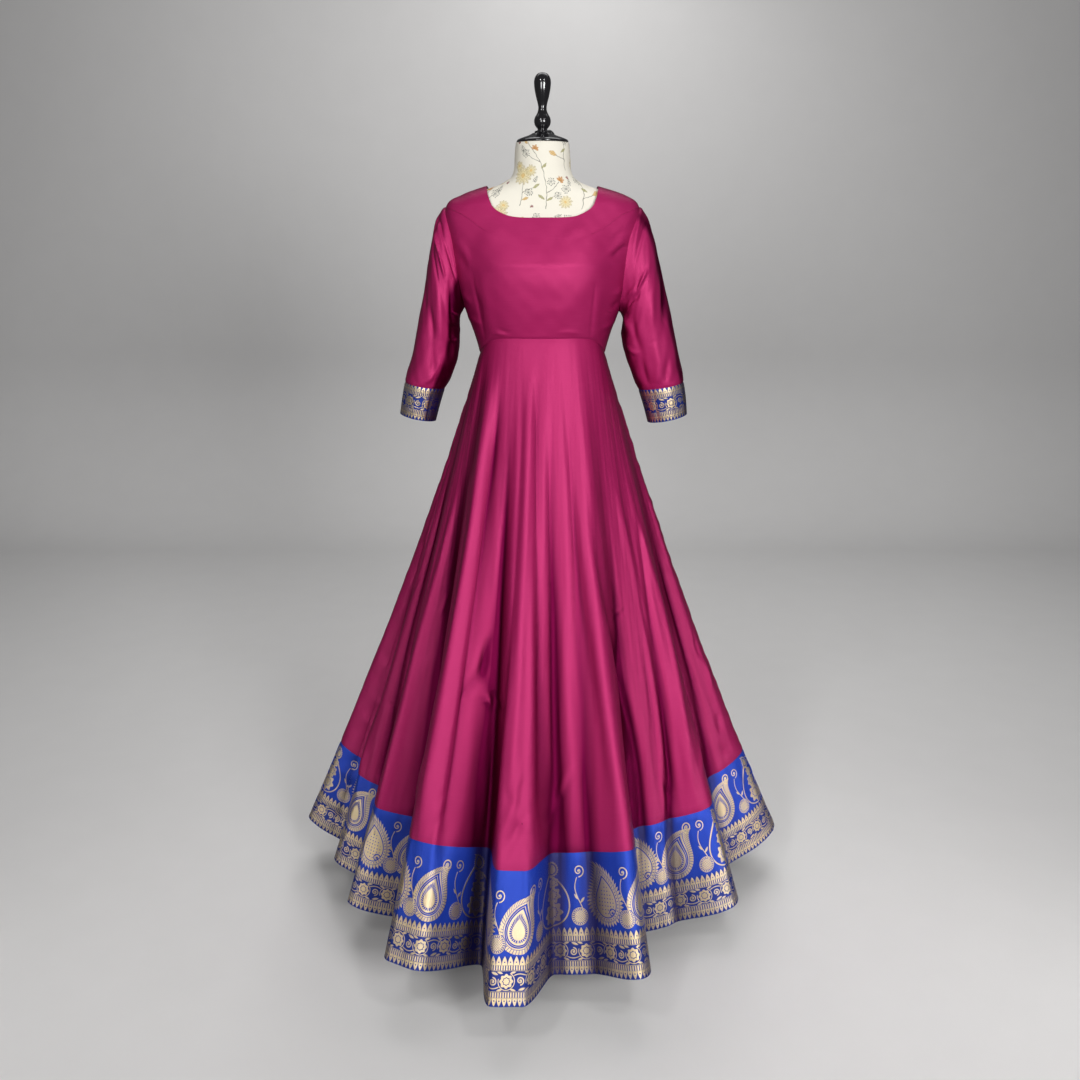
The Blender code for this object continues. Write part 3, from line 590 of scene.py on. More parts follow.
def makeBorderGroup():
    # woven design read in centimetres: rows of teeth and combs, a scroll vine, and paisleys of three kinds
    group, source, result = newGroup("zariDesign", {"Map": "Vector"}, {"Zari": "Float", "Dense": "Float"})
    u, v, _ = splitVector(source["Map"])
    x, y = u * 100, v * 100
    soft = border["soft"]
    cell = calc("FLOOR", x / border["pitch"])
    kind = cell - 3 * calc("FLOOR", cell / 3)
    lx = x - (cell + 0.5) * border["pitch"]
    design = 0.0
    for number, drop in enumerate((leafEdgedDrop, flutedDrop, blossomDrop)):
        design = higher(design, drop(lx, y) * band(kind, number, 0.4, 0.01))

    # between the drops: a netted round at the foot, and a curl on a long stem above it
    bx, by = x - calc("ROUND", x / border["pitch"]) * border["pitch"], y - border["roundHeight"]
    stem = band(bx, border["stemSway"] * sine((y - 16.9) * 0.66), 0.085, soft) * band(y, 13.3, 2.9, 0.1)
    far = distance(bx, by)
    rim = band(far, border["rimRadius"], 0.05, soft)
    bead = size(fraction(calc("ARCTAN2", bx, by) * (border["beadPairs"] / math.pi)) - 0.5)
    beads = band(far, border["beadRadius"], 0.13, soft) * inside(0.32, bead, 0.15)
    medal = higher(inside(border["netRadius"], far, soft) * net(bx, y, 0.40, 0.30), higher(rim, beads))
    spray = higher(leaf(bx - 0.55, y - 12.3, 0.9, 0.62, 0.20), leaf(bx + 0.55, y - 12.9, -0.9, 0.62, 0.20))
    between = higher(higher(curl(bx, y - border["curlHeight"], 0.45, 0.62, 0.10, 1), spray), stem)
    design = higher(design * outside(border["clearRadius"], far, soft), higher(between, medal))
    design = design * outside(border["dropsFrom"], y, soft)

    def teeth(low, high, pitch, upward):
        # pointed ovals standing on a line: half width falls with the square of the height
        rise = (y - low) / (high - low)
        rise = rise if upward else 1 - rise
        off = size(fraction(x / pitch) - 0.5) * 2
        body = inside(0.92 * (1 - rise * rise), off, 0.10)
        eye = distance(off * 0.5 * pitch, (rise - 0.32) * (high - low))
        return body * (1 - inside(0.11, eye, soft)) * band(y, (low + high) / 2, (high - low) / 2, 0.03)

    def comb(low, high):
        off = size(fraction(x / border["comb"]) - 0.5)
        return inside(0.30, off, 0.12) * band(y, (low + high) / 2, (high - low) / 2, 0.08)

    rows = higher(teeth(*border["edgeTeeth"], border["edgeTooth"], False),
                  teeth(*border["topTeeth"], border["tooth"], True))
    rows = higher(rows, higher(comb(*border["lowComb"]), comb(*border["topComb"])))
    for height in border["lines"]:
        rows = higher(rows, band(y, height, 0.035, 0.03))

    # scroll vine: a blossom held by an open ring in each bend, a curl under each arch, leaves in the spaces
    middle, half = sum(border["vine"]) / 2, border["vinePeriod"] / 2
    vine = band(y, middle + 1.15 * sine(x / half * math.pi + math.pi / 2), 0.085, soft)
    vx = x - (calc("FLOOR", x / half) + 0.5) * half
    side = 1 - 2 * (calc("FLOOR", x / half) - 2 * calc("FLOOR", x / (2 * half)))  # +1 and -1 in turn
    vy = (y - middle) * side  # upright in every bend
    f = flower(vx, vy, 1.06, 8, 0.10)
    bloom = inside(1.0, f, 0.06) * (1 - band(f, 0.52, 0.06, 0.05))
    far = distance(vx, vy)
    ring = band(far, 1.36, 0.07, 0.04) * outside(-0.9, vy + vx * 0.4, 0.1)
    ends = size(vx)
    sprigs = higher(*(leaf(ends - 1.10, vy - up * 1.34, up * 0.25, 0.50, 0.17) for up in (1, -1)))
    arch = calc("ROUND", x / half)
    wx, wy = x - arch * half, (y - middle) * (1 - 2 * (arch - 2 * calc("FLOOR", arch / 2)))
    sprigs = higher(sprigs, curl(wx, wy - 0.10, 0.30, 0.36, 0.10, 1))
    sprigs = higher(sprigs, leaf(wx - 0.30, wy + 1.20, 0.3, 0.62, 0.20))
    scrolls = higher(higher(vine * outside(1.5, far, soft), bloom), higher(ring, sprigs))
    design = higher(design, higher(rows, scrolls * band(y, middle, 1.56, 0.05)))
    feed(group, result, {"Zari": design, "Dense": inside(border["denseTo"], y, 0.6)})
    return group


zariLook = {
    "gold": (0.80, 0.60, 0.29), "silver": (0.62, 0.54, 0.47), "ground": (0.009, 0.050, 0.46),
    # the last two colours on this row are painted shade for the troughs
    "groundLow": (0.012, 0.034, 0.27), "goldInShade": (0.10, 0.075, 0.085), "groundInShade": (0.006, 0.006, 0.10),
    "pitch": 0.0006, "specular": 0.5, "roughness": 0.46, "smootherGold": 0.05, "slubRoughness": 0.16,
    "metallic": 0.45, "moreMetallicGold": 0.5, "silverShare": 0.9, "weaveShare": 0.25, "raised": 0.00026,
}


def makeZari(weave, design):
    # gilt threads raised on a dyed ground, both darkened by painted shade where the cloth sinks
    material, tree, shader = newMaterial("zariBorder", {"Specular IOR Level": zariLook["specular"]})
    place = clothMap(tree)
    threads = placeGroup(tree, weave, {"Map": place, "Pitch": zariLook["pitch"]})
    motif = placeGroup(tree, design, {"Map": place})
    # painted shade in the troughs darkens the metal and the ground
    gilt, sunk = motif["Zari"], troughShade(tree)
    pale = clamped(threads["Cloud"] * zariLook["silverShare"])
    metal = mixColour(sunk, mixColour(pale, zariLook["gold"], zariLook["silver"]), zariLook["goldInShade"])
    ground = mixColour(motif["Dense"], zariLook["ground"], zariLook["groundLow"])
    ground = mixColour(sunk, ground, zariLook["groundInShade"])
    rough = (threads["Slub"] - 0.5) * zariLook["slubRoughness"] + zariLook["roughness"]
    feed(tree, shader, {
        "Base Color": mixColour(gilt, ground, metal),
        "Metallic": gilt * zariLook["moreMetallicGold"] + zariLook["metallic"],
        "Roughness": rough - gilt * zariLook["smootherGold"]})
    addBump(tree, shader, gilt + threads["Height"] * zariLook["weaveShare"], zariLook["raised"])
    return material


printLook = {
    # all in centimetres; tiles stand in columns, every second one mirrored and half a tile higher
    "tile": (13.0, 16.0),
    "cloth": (0.86, 0.82, 0.71), "stem": (0.10, 0.09, 0.06), "ink": (0.07, 0.08, 0.07),
    "green": (0.38, 0.38, 0.14), "ochre": (0.74, 0.44, 0.10), "yellow": (0.84, 0.72, 0.40),
    "orange": (0.66, 0.28, 0.05), "plum": (0.28, 0.04, 0.08), "outline": (0.20, 0.14, 0.06),
    # x, y, turn, length, bend at the far end
    "stems": (
        (-0.60, 0.50, 1.75, 7.0, -1.6), (-0.27, 7.67, 1.32, 5.0, -0.9), (0.57, 10.03, 0.35, 3.0, 0.5),
        (-0.84, 3.66, 2.60, 3.4, -0.8), (4.60, 1.20, 1.90, 5.2, -1.3), (4.07, 3.77, 2.50, 2.4, 0.5),
        (-5.20, 8.40, 1.30, 5.5, 1.2), (-4.80, 10.57, 0.50, 2.2, -0.4), (1.84, 12.30, 0.80, 2.0, 0.3),
    ),
    # x, y, turn, half length, half width, colour
    "leaves": (
        (-2.05, 11.75, 0.45, 1.00, 0.40, "ochre"), (1.25, 5.20, 2.55, 0.85, 0.30, "green"),
        (-0.35, 9.30, 2.40, 0.80, 0.26, "green"), (-1.55, 2.60, 2.70, 0.75, 0.24, "green"),
        (3.45, 2.60, 2.80, 0.80, 0.28, "ochre"), (-4.55, 12.40, 2.50, 0.75, 0.26, "green"),
        (0.20, 2.90, 0.60, 0.80, 0.26, "green"), (3.60, 14.20, 0.90, 0.80, 0.30, "ochre"),
    ),
    # x, y, length, turn of the middle petal, colour; five pointed petals to a fan
    "fans": (
        (-3.55, 6.30, 1.10, 2.2, "orange"), (1.55, 12.55, 1.05, 1.9, "orange"),
        (5.20, 13.90, 0.55, 1.2, "plum"), (-5.30, 6.90, 0.50, 2.4, "plum"), (2.10, 0.90, 0.55, 1.4, "plum"),
    ),
    # x, y, radius, petals
    "blossoms": (
        (4.15, 7.40, 1.75, 13), (2.35, 8.35, 1.10, 11), (5.25, 9.30, 0.95, 10), (-4.60, 1.90, 1.20, 11),
    ),
    # x, y, radius, rays
    "umbels": (
        (3.45, 11.75, 0.90, 13), (-5.00, 14.40, 1.00, 15), (-3.10, 3.20, 0.80, 12), (-4.70, 4.60, 0.90, 14),
        (-1.75, 6.10, 0.85, 13), (2.75, 3.90, 0.80, 12), (1.20, 14.90, 0.80, 12),
    ),
    # x, y, turn, length, half width
    "sprays": (
        (3.90, 11.95, 1.10, 1.7, 0.50), (-2.40, 14.60, 2.70, 1.6, 0.45), (1.60, 5.95, 1.90, 1.4, 0.40),
        (-5.40, 5.30, 1.70, 1.5, 0.40),
    ),
}


def printLayer(name, extra, draw):
    # group that lays one motif over the colour under it; draw gives masks and colours, none for the tint,
    # from coordinates along and across the motif's own turn
    numbers = dict.fromkeys(("X", "Y", "Wash", "Left", "Low", "Turn", *extra), "Float")
    group, source, result = newGroup(name, {"Under": "Color", "Tint": "Color", **numbers}, {"Color": "Color"})
    x, y = source["X"] - source["Left"], source["Y"] - source["Low"]
    c, s = cosine(source["Turn"]), sine(source["Turn"])
    colour = source["Under"]
    given = [source[label] for label in ("Wash", *extra)]
    for mask, shade in draw(x * c + y * s, y * c - x * s, *given):
        colour = mixColour(mask, colour, shade or source["Tint"])
    feed(group, result, {"Color": colour})
    return group


def drawStem(along, off, wash, length, bend):
    # thin line on a parabola: across = bend * (along / length)^2
    share = along / length
    line = inside(0.060, size(off - share * share * bend), 0.050)
    return [(line * band(share, 0.5, 0.5, 0.02) * 0.75, None)]


def drawUmbel(along, off, wash, radius, rays):
    # rays from the middle, uneven in length, each ending in a small round tip
    turn, far = calc("ARCTAN2", along, off) * rays / (2 * math.pi), distance(along, off)
    length = (sine(calc("FLOOR", turn) * 2.4) * 0.14 + 0.84) * radius
    aside = size(fraction(turn) - 0.5) * far * (2 * math.pi) / rays
    tip = inside(0.100, distance(far - length, aside), 0.05)
    line = inside(0.026, aside, 0.04) * inside(0.0, far - length, 0.05) * 0.8
    return [(higher(tip, line) * (wash * 0.6 + 0.62), None)]


def drawSpray(along, off, wash, length, half):
    # short slanted strokes along a midrib, inside a pointed oval
    share = along / length
    strokes = band(fraction(along * 3.0 - size(off) * 2.4), 0.5, 0.18, 0.16)
    ends = band(share, 0.5, 0.5, 0.03)
    oval = inside(half, size(off) / ((1.05 - share) * (share + 0.35) * 2), 0.08)
    return [(higher(strokes * oval, inside(0.03, size(off), 0.04)) * ends * (wash * 0.6 + 0.62), None)]


def drawPetal(along, off, wash, length, half):
    # body, side veins slanted from the midrib, and a thin outline
    rim = size(off) / half + (along / length) * (along / length)
    veins = band(fraction(along * 2.6 - size(off) * 1.8), 0.5, 0.07, 0.14)
    veins = higher(veins, inside(0.02, size(off), 0.03)) * inside(0.9, rim, 0.1)
    lines = higher(band(rim, 0.96, 0.04, 0.10), veins)
    return [(inside(1.0, rim, 0.10) * (wash * 0.6 + 0.45), None), (lines * 0.68, printLook["outline"])]


def drawBlossom(along, off, wash, radius, petals):
    # scalloped rim and short lines between the petals
    f = distance(along, off) / (radius * (1 + 0.13 * cosine(calc("ARCTAN2", along, off) * petals)))
    spoke = size(fraction(calc("ARCTAN2", along, off) * petals / (2 * math.pi) + 0.5) - 0.5)
    lines = higher(band(f, 0.96, 0.03, 0.08), inside(0.06, spoke, 0.12) * band(f, 0.80, 0.14, 0.1))
    return [(inside(1.0, f, 0.10) * (wash * 0.5 + 0.33), None), (lines * 0.62, printLook["outline"])]


def makePrintGroup():
    # thin forked stems, umbels, sprays, veined leaves, fans and full blossoms, each laid over the last
    group, source, result = newGroup("coverPrint", {"Map": "Vector"}, {"Color": "Color"})
    stem = printLayer("printStem", ("Length", "Bend"), drawStem)
    umbel = printLayer("printUmbel", ("Radius", "Rays"), drawUmbel)
    spray = printLayer("printSpray", ("Length", "Half"), drawSpray)
    petal = printLayer("printPetal", ("Length", "Half"), drawPetal)
    blossom = printLayer("printBlossom", ("Radius", "Petals"), drawBlossom)
    u, v, _ = splitVector(source["Map"])
    width, height = printLook["tile"]
    column = calc("FLOOR", u * (100 / width) + 0.5)
    odd = column - 2 * calc("FLOOR", column / 2)
    x = (u * 100 - column * width) * (1 - 2 * odd)
    y = fraction(v * (100 / height) + odd * 0.5) * height
    wander = noise(joinVector(x, y), 0.8, 1.0)
    wash = noise(joinVector(x, y, 5.0), 1.6, 2.0)
    x, y = x + (wander - 0.5) * 0.6, y + (wash - 0.5) * 0.5
    colour = printLook["cloth"]

    def lay(layer, shade, *row):
        # the row goes to the inputs that follow the first five
        nonlocal colour
        given = {"Under": colour, "Tint": printLook[shade], "X": x, "Y": y, "Wash": wash}
        colour = placeGroup(group, layer, {**given, **dict(enumerate(row, 5))})["Color"]

    for row in printLook["stems"]:
        lay(stem, "stem", *row)
    for x0, y0, radius, rays in printLook["umbels"]:
        lay(umbel, "ink", x0, y0, 0.0, radius, rays)
    for row in printLook["sprays"]:
        lay(spray, "ink", *row)
    for *row, shade in printLook["leaves"]:
        lay(petal, shade, *row)
    for x0, y0, length, turn, shade in printLook["fans"]:
        for spread, share in ((-1.5, 0.75), (1.5, 0.8), (-0.75, 0.95), (0.75, 0.9), (0.0, 1.0)):
            half = length * share / 2
            left, low = x0 + math.cos(turn + spread) * half, y0 + math.sin(turn + spread) * half
            lay(petal, shade, left, low, turn + spread, half, 0.20 * length)
    for x0, y0, radius, petals in printLook["blossoms"]:
        for share, shade in ((1.0, "yellow"), (0.74, "yellow"), (0.50, "yellow"), (0.26, "ochre")):
            lay(blossom, shade, x0, y0, share * 2, radius * share, petals)
    feed(group, result, {"Color": colour})
    return group


coverLook = {
    "pitch": 0.0009, "specular": 0.3, "roughness": 0.80, "slubRoughness": 0.12, "weaveDepth": 0.00008,
}


def makeCover(weave, printed):
    # printed cotton over a plain weave
    material, tree, shader = newMaterial("formCover", {"Specular IOR Level": coverLook["specular"]})
    place = clothMap(tree)
    threads = placeGroup(tree, weave, {"Map": place, "Pitch": coverLook["pitch"]})
    feed(tree, shader, {"Base Color": placeGroup(tree, printed, {"Map": place})["Color"],
                        "Roughness": threads["Slub"] * coverLook["slubRoughness"] + coverLook["roughness"]})
    addBump(tree, shader, threads["Height"], coverLook["weaveDepth"])
    return material


def makeSpeckleGroup():
    # uneven polish: broad and fine noise, for roughness, and a shallow height
    group, source, result = newGroup(
        "unevenSurface", {"Place": "Vector", "Scale": 40.0, "Roughness": 0.3, "Range": 0.1},
        {"Roughness": "Float", "Height": "Float", "Tone": "Float"})
    scaled = joinVector(*(along * source["Scale"] for along in splitVector(source["Place"])))
    fine = noise(scaled, 1.0, 4.0, 0.6)
    broad = noise(source["Place"], 9.0, 2.0)
    rough = (fine * 0.5 + broad * 0.5 - 0.5) * source["Range"] * 2 + source["Roughness"]
    feed(group, result, {"Roughness": rough, "Height": fine, "Tone": broad})
    return group


finishes = {
    # two tones, roughness and its range, grain per metre, relief in metres, metallic, coat
    "blackLacquer": ((0.008, 0.008, 0.010), (0.014, 0.013, 0.014), 0.16, 0.05, 60.0, 0.00004, 0.0, 0.6),
    "blackSteel": ((0.020, 0.020, 0.022), (0.032, 0.032, 0.034), 0.38, 0.08, 220.0, 0.00003, 0.7, 0.0),
    "paleFloor": ((0.80, 0.79, 0.78), (0.83, 0.82, 0.81), 0.85, 0.04, 30.0, 0.0001, 0.0, 0.0),
}


def makePolished(name):
    # two close tones, uneven polish, a trace of relief
    colour, second, rough, spread, scale, depth, metallic, coat = finishes[name]
    material, tree, shader = newMaterial(name, {
        "Metallic": metallic, "Coat Weight": coat, "Coat Roughness": 0.05})
    place = Signal(tree, addNode(tree, "TexCoord", {}).outputs["Object"])
    uneven = placeGroup(tree, speckleGroup, {
        "Place": place, "Scale": scale, "Roughness": rough, "Range": spread})
    feed(tree, shader, {
        "Base Color": mixColour(uneven["Tone"], colour, second), "Roughness": uneven["Roughness"]})
    addBump(tree, shader, uneven["Height"], depth)
    return material


weaveGroup = makeWeaveGroup()
silk = makeSilk(weaveGroup)
zari = makeZari(weaveGroup, makeBorderGroup())
cover = makeCover(weaveGroup, makePrintGroup())
speckleGroup = makeSpeckleGroup()
lacquer, steel = makePolished("blackLacquer"), makePolished("blackSteel")
print("materials made")


def finishPiece(piece, slotName, *replaced):
    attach(piece, "root")
    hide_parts(*replaced)
    return piece


bodice = {
    "tipHeight": 1.450, "armholeBack": 0.062,
    # on the wearer's right and left, where the gown sits a little turned on the form
    "underarm": (1.251, 1.243), "armholeFront": (0.044, 0.054),
    "neckPoint": 1.4905, "neckFront": 1.428, "neckBack": 1.458,
    "seamRows": 3, "armholeRows": 7, "shoulderRows": 3, "armholeRound": 0.9, "shoulderRound": 0.8,
    "crowding": 1.15,  # how much closer the columns stand towards the side edge
    "seamFade": 0.008,  # creases and ripples flatten this near a seam
    "columns": 66, "rows": 130,
    "tipFullness": (0.0022, 0.187, 1.460, 0.014),  # height, distance from the middle, level, reach
    # in millimetres: sideways and height at both ends, bow, width, depth; lean
    "creasesFront": np.array([
        (-142.3, 1328, -114.6, 1180, 0, 3, -1.3, 0), (-125, 1330, -102, 1180, 3, 11, 2, 0),
        (104.7, 1303, 94.9, 1180, 0, 3, -1.3, 0), (117, 1300, 106, 1180, -3, 11, 1.8, 0),
        (-131.4, 1285, -120.6, 1218, 2, 5, -1.8, 0.2), (-142, 1336, 126, 1338, 0, 8, 1.2, 0.2),
        (172, 1398, 124, 1356, 3, 6, 2.6, 0.3), (170, 1412, 138, 1388, 2, 5, -1.6, 0.2),
        (170, 1380, 138, 1352, -2, 5, -1.8, 0.2), (166, 1330, 130, 1352, 2, 6, 1.8, 0.2),
        (-172, 1388, -145, 1340, 3, 6.5, 2.4, 0.3), (-170, 1360, -150, 1325, 2, 5, -1.8, 0.2),
        (164, 1292, 144, 1276, 2, 6.5, 3, 0.3), (160, 1268, 138, 1250, 2, 6, -2.4, 0.3),
        (-166, 1280, -144, 1258, 2, 6.5, 2.2, 0.3), (-98, 1200, -70, 1197, 2, 4.5, 1.8, 0.2),
        (-90, 1212, -64, 1204, -2, 4.5, -1.4, 0.2), (30, 1204, 76, 1201, 2, 5, 1.2, 0.2),
        (-70, 1290, 30, 1262, 6, 16, -0.8, 0), (-30, 1240, 70, 1252, 4, 14, 0.8, 0),
        (-95, 1412, -30, 1372, 6, 12, 1.2, 0.2), (90, 1414, 35, 1376, -6, 12, 1.2, 0.2),
        (-158, 1230, -118, 1214, 3, 6, 1.8, 0.2), (154, 1226, 118, 1208, 3, 6, 1.8, 0.2)]) * creaseUnits,
    "creasesBack": np.array([
        (-80, 1330, -72, 1180, 0, 3, -1.3, 0), (80, 1330, 72, 1180, 0, 3, -1.3, 0),
        (-92, 1320, -85, 1180, 3, 11, 1.8, 0), (92, 1320, 85, 1180, -3, 11, 1.8, 0),
        (-100, 1226, 90, 1222, -8, 9, 2.8, 0.2), (-60, 1252, 70, 1248, 6, 8, -2.2, 0.2),
        (-168, 1372, -120, 1350, 3, 7, 2.2, 0.3), (168, 1376, 124, 1348, -3, 7, 2.2, 0.3),
        (-164, 1300, -132, 1284, 2, 6, -2, 0.2), (164, 1292, 130, 1270, 2, 6, -2, 0.2),
        (-156, 1232, -116, 1214, 3, 6, 1.8, 0.2), (156, 1236, 118, 1220, -3, 6, 1.8, 0.2),
        (-50, 1420, 40, 1404, 6, 15, 1.6, 0), (-70, 1374, 60, 1368, -6, 16, -1.4, 0)]) * creaseUnits,
    # height, per metre sideways, per metre of height, start
    "waves": ((0.00030, 46, 30, 0.2), (0.00022, -71, 58, 1.7), (0.00014, 120, -92, 3.9),
              (0.00010, 160, 150, 5.1)),
    # millimetres sideways, share of the drop
    "neckCurveFront": np.array([
        (112, 0), (106, 0.38), (95, 0.7), (70, 0.93), (40, 1), (0, 1)]) * [mm, 1],
    "neckCurveBack": np.array([
        (112, 0), (104, 0.35), (86, 0.72), (60, 0.93), (30, 1), (0, 1)]) * [mm, 1],
}


def armholeEdge(share, behind, side):
    # half an egg from the underarm (0) to the shoulder tip (1): depth, height
    lowest, front = bodice["underarm"][side > 0], bodice["armholeFront"][side > 0]
    middle = (bodice["tipHeight"] + lowest) / 2
    half = (bodice["tipHeight"] - lowest) / 2
    depth = (bodice["armholeBack"] if behind else front) * np.sin(np.pi * share) ** bodice["armholeRound"]
    return depth, middle - half * np.cos(np.pi * share)


def sideEdge(share, behind, side):
    # side seam, armhole and shoulder seam in one line: angle, height
    rows = bodice["seamRows"] + bodice["armholeRows"] + bodice["shoulderRows"]
    seamEnd = bodice["seamRows"] / rows
    armholeEnd = (bodice["seamRows"] + bodice["armholeRows"]) / rows
    seam = np.clip(share / seamEnd, 0, 1)
    hole = np.clip((share - seamEnd) / (armholeEnd - seamEnd), 0, 1)
    shoulder = np.clip((share - armholeEnd) / (1 - armholeEnd), 0, 1)
    bottom = waistHeight(np.zeros(1))[0]
    depth, holeHeight = armholeEdge(hole, behind, side)
    holeAngle = angleAtDepth(depth, holeHeight, behind)
    rise = (bodice["neckPoint"] - bodice["tipHeight"]) * shoulder ** bodice["shoulderRound"]
    height = np.where(share < armholeEnd, holeHeight, bodice["tipHeight"] + rise)
    height = np.where(share < seamEnd, bottom + (bodice["underarm"][side > 0] - bottom) * seam, height)
    return np.where((share >= seamEnd) & (share < armholeEnd), holeAngle, 0.0), height


def neckEdge(share, behind):
    # neckline from the shoulder point (0) to the centre (1): angle, height
    table = bodice["neckCurveBack" if behind else "neckCurveFront"]
    lowest = bodice["neckBack" if behind else "neckFront"]
    scaled = table * np.array([1, bodice["neckPoint"] - lowest])
    scaled = throughRows(scaled, np.linspace(0, len(scaled) - 1, 81))
    steps = np.linalg.norm(np.diff(scaled, axis=0), axis=1)
    reach = np.concatenate([[0], np.cumsum(steps)]) / steps.sum()
    sideways, drop = (np.interp(share, reach, scaled[:, k]) for k in (0, 1))
    height = bodice["neckPoint"] - drop
    angle = angleAtSide(sideways, height)
    return np.where(share <= 0, 0.0, np.where(share >= 1, np.pi / 2, angle)), height


def bodiceHalf(behind, side):
    # Coons patch between side edge, centre line, waist seam and neckline: angle, height
    u = np.linspace(0, 1, bodice["columns"] + 1)[None, :] ** bodice["crowding"]
    v = np.linspace(0, 1, bodice["rows"] + 1)[:, None]
    lowest = bodice["neckBack" if behind else "neckFront"]
    edge = np.stack(sideEdge(v, behind, side), -1)
    bottomAngle = u * np.pi / 2
    bottom = np.stack([bottomAngle, waistHeight(bottomAngle)], -1)
    centre = np.stack([0 * v + np.pi / 2, waist["height"] + (lowest - waist["height"]) * v], -1)
    top = np.stack(neckEdge(u, behind), -1)
    u3, v3 = u[..., None], v[..., None]
    corners = ((1 - u3) * (1 - v3) * bottom[:, :1] + u3 * (1 - v3) * bottom[:, -1:]
               + (1 - u3) * v3 * top[:, :1] + u3 * v3 * top[:, -1:])
    return (1 - u3) * edge + u3 * centre + (1 - v3) * bottom + v3 * top - corners


def seamDitch(away):
    # how far the cloth sinks this far away from a sewn seam: -depth * exp(-(away / width)^2)
    return -cloth["seamDitch"] * np.exp(-((away / cloth["seamWidth"]) ** 2))


def makeBodice(name, behind):
    # the patch laid on the body's sections, moved out by the clearance, its creases, ripples and seams
    left, right = bodiceHalf(behind, 1), bodiceHalf(behind, -1)[:, -2::-1]
    angles = np.concatenate([left[..., 0], np.pi - right[..., 0]], axis=1)
    heights = np.concatenate([left[..., 1], right[..., 1]], axis=1)
    if behind:
        angles = -angles
    normals = bodyNormal(angles, heights)
    middle = bodyPoint(angles, heights) + normals * (form["clearance"] + cloth["solidWall"] / 2)
    upward = arcLength(middle, 0)
    across = arcLength(middle, 1)
    across = across - across[:, across.shape[1] // 2][:, None]
    sideways = np.minimum(arcLength(middle, 1), arcLength(middle[:, ::-1], 1)[:, ::-1])
    table = bodice["creasesBack" if behind else "creasesFront"]
    fade = 1 - np.exp(-((np.minimum(sideways, upward) / bodice["seamFade"]) ** 2))
    lift = seamDitch(upward) + seamDitch(sideways)
    x, z = middle[..., 0], middle[..., 2]
    lift = lift + (segmentCreases(x, z, table) + ripples(x, z, bodice["waves"])) * fade
    height, aside, level, reach = bodice["tipFullness"]
    lift = lift + height * np.exp(-(((np.abs(x) - aside) / reach) ** 2) - ((z - level) / (2 * reach)) ** 2)
    outer = middle + normals * (cloth["shellThickness"] / 2 + lift)[..., None]
    uv = np.stack([across, heights], -1)
    piece = shell(name, outer, gridNormals(outer, False) * facingSign(outer, normals), uv, silk)
    return finishPiece(piece, "magenta_silk", name[:-6])


def facingSign(points, normals):
    # +1 where the grid's own normals agree with these, else -1
    own = gridNormals(points, False)
    return np.sign(np.sum(own * normals))


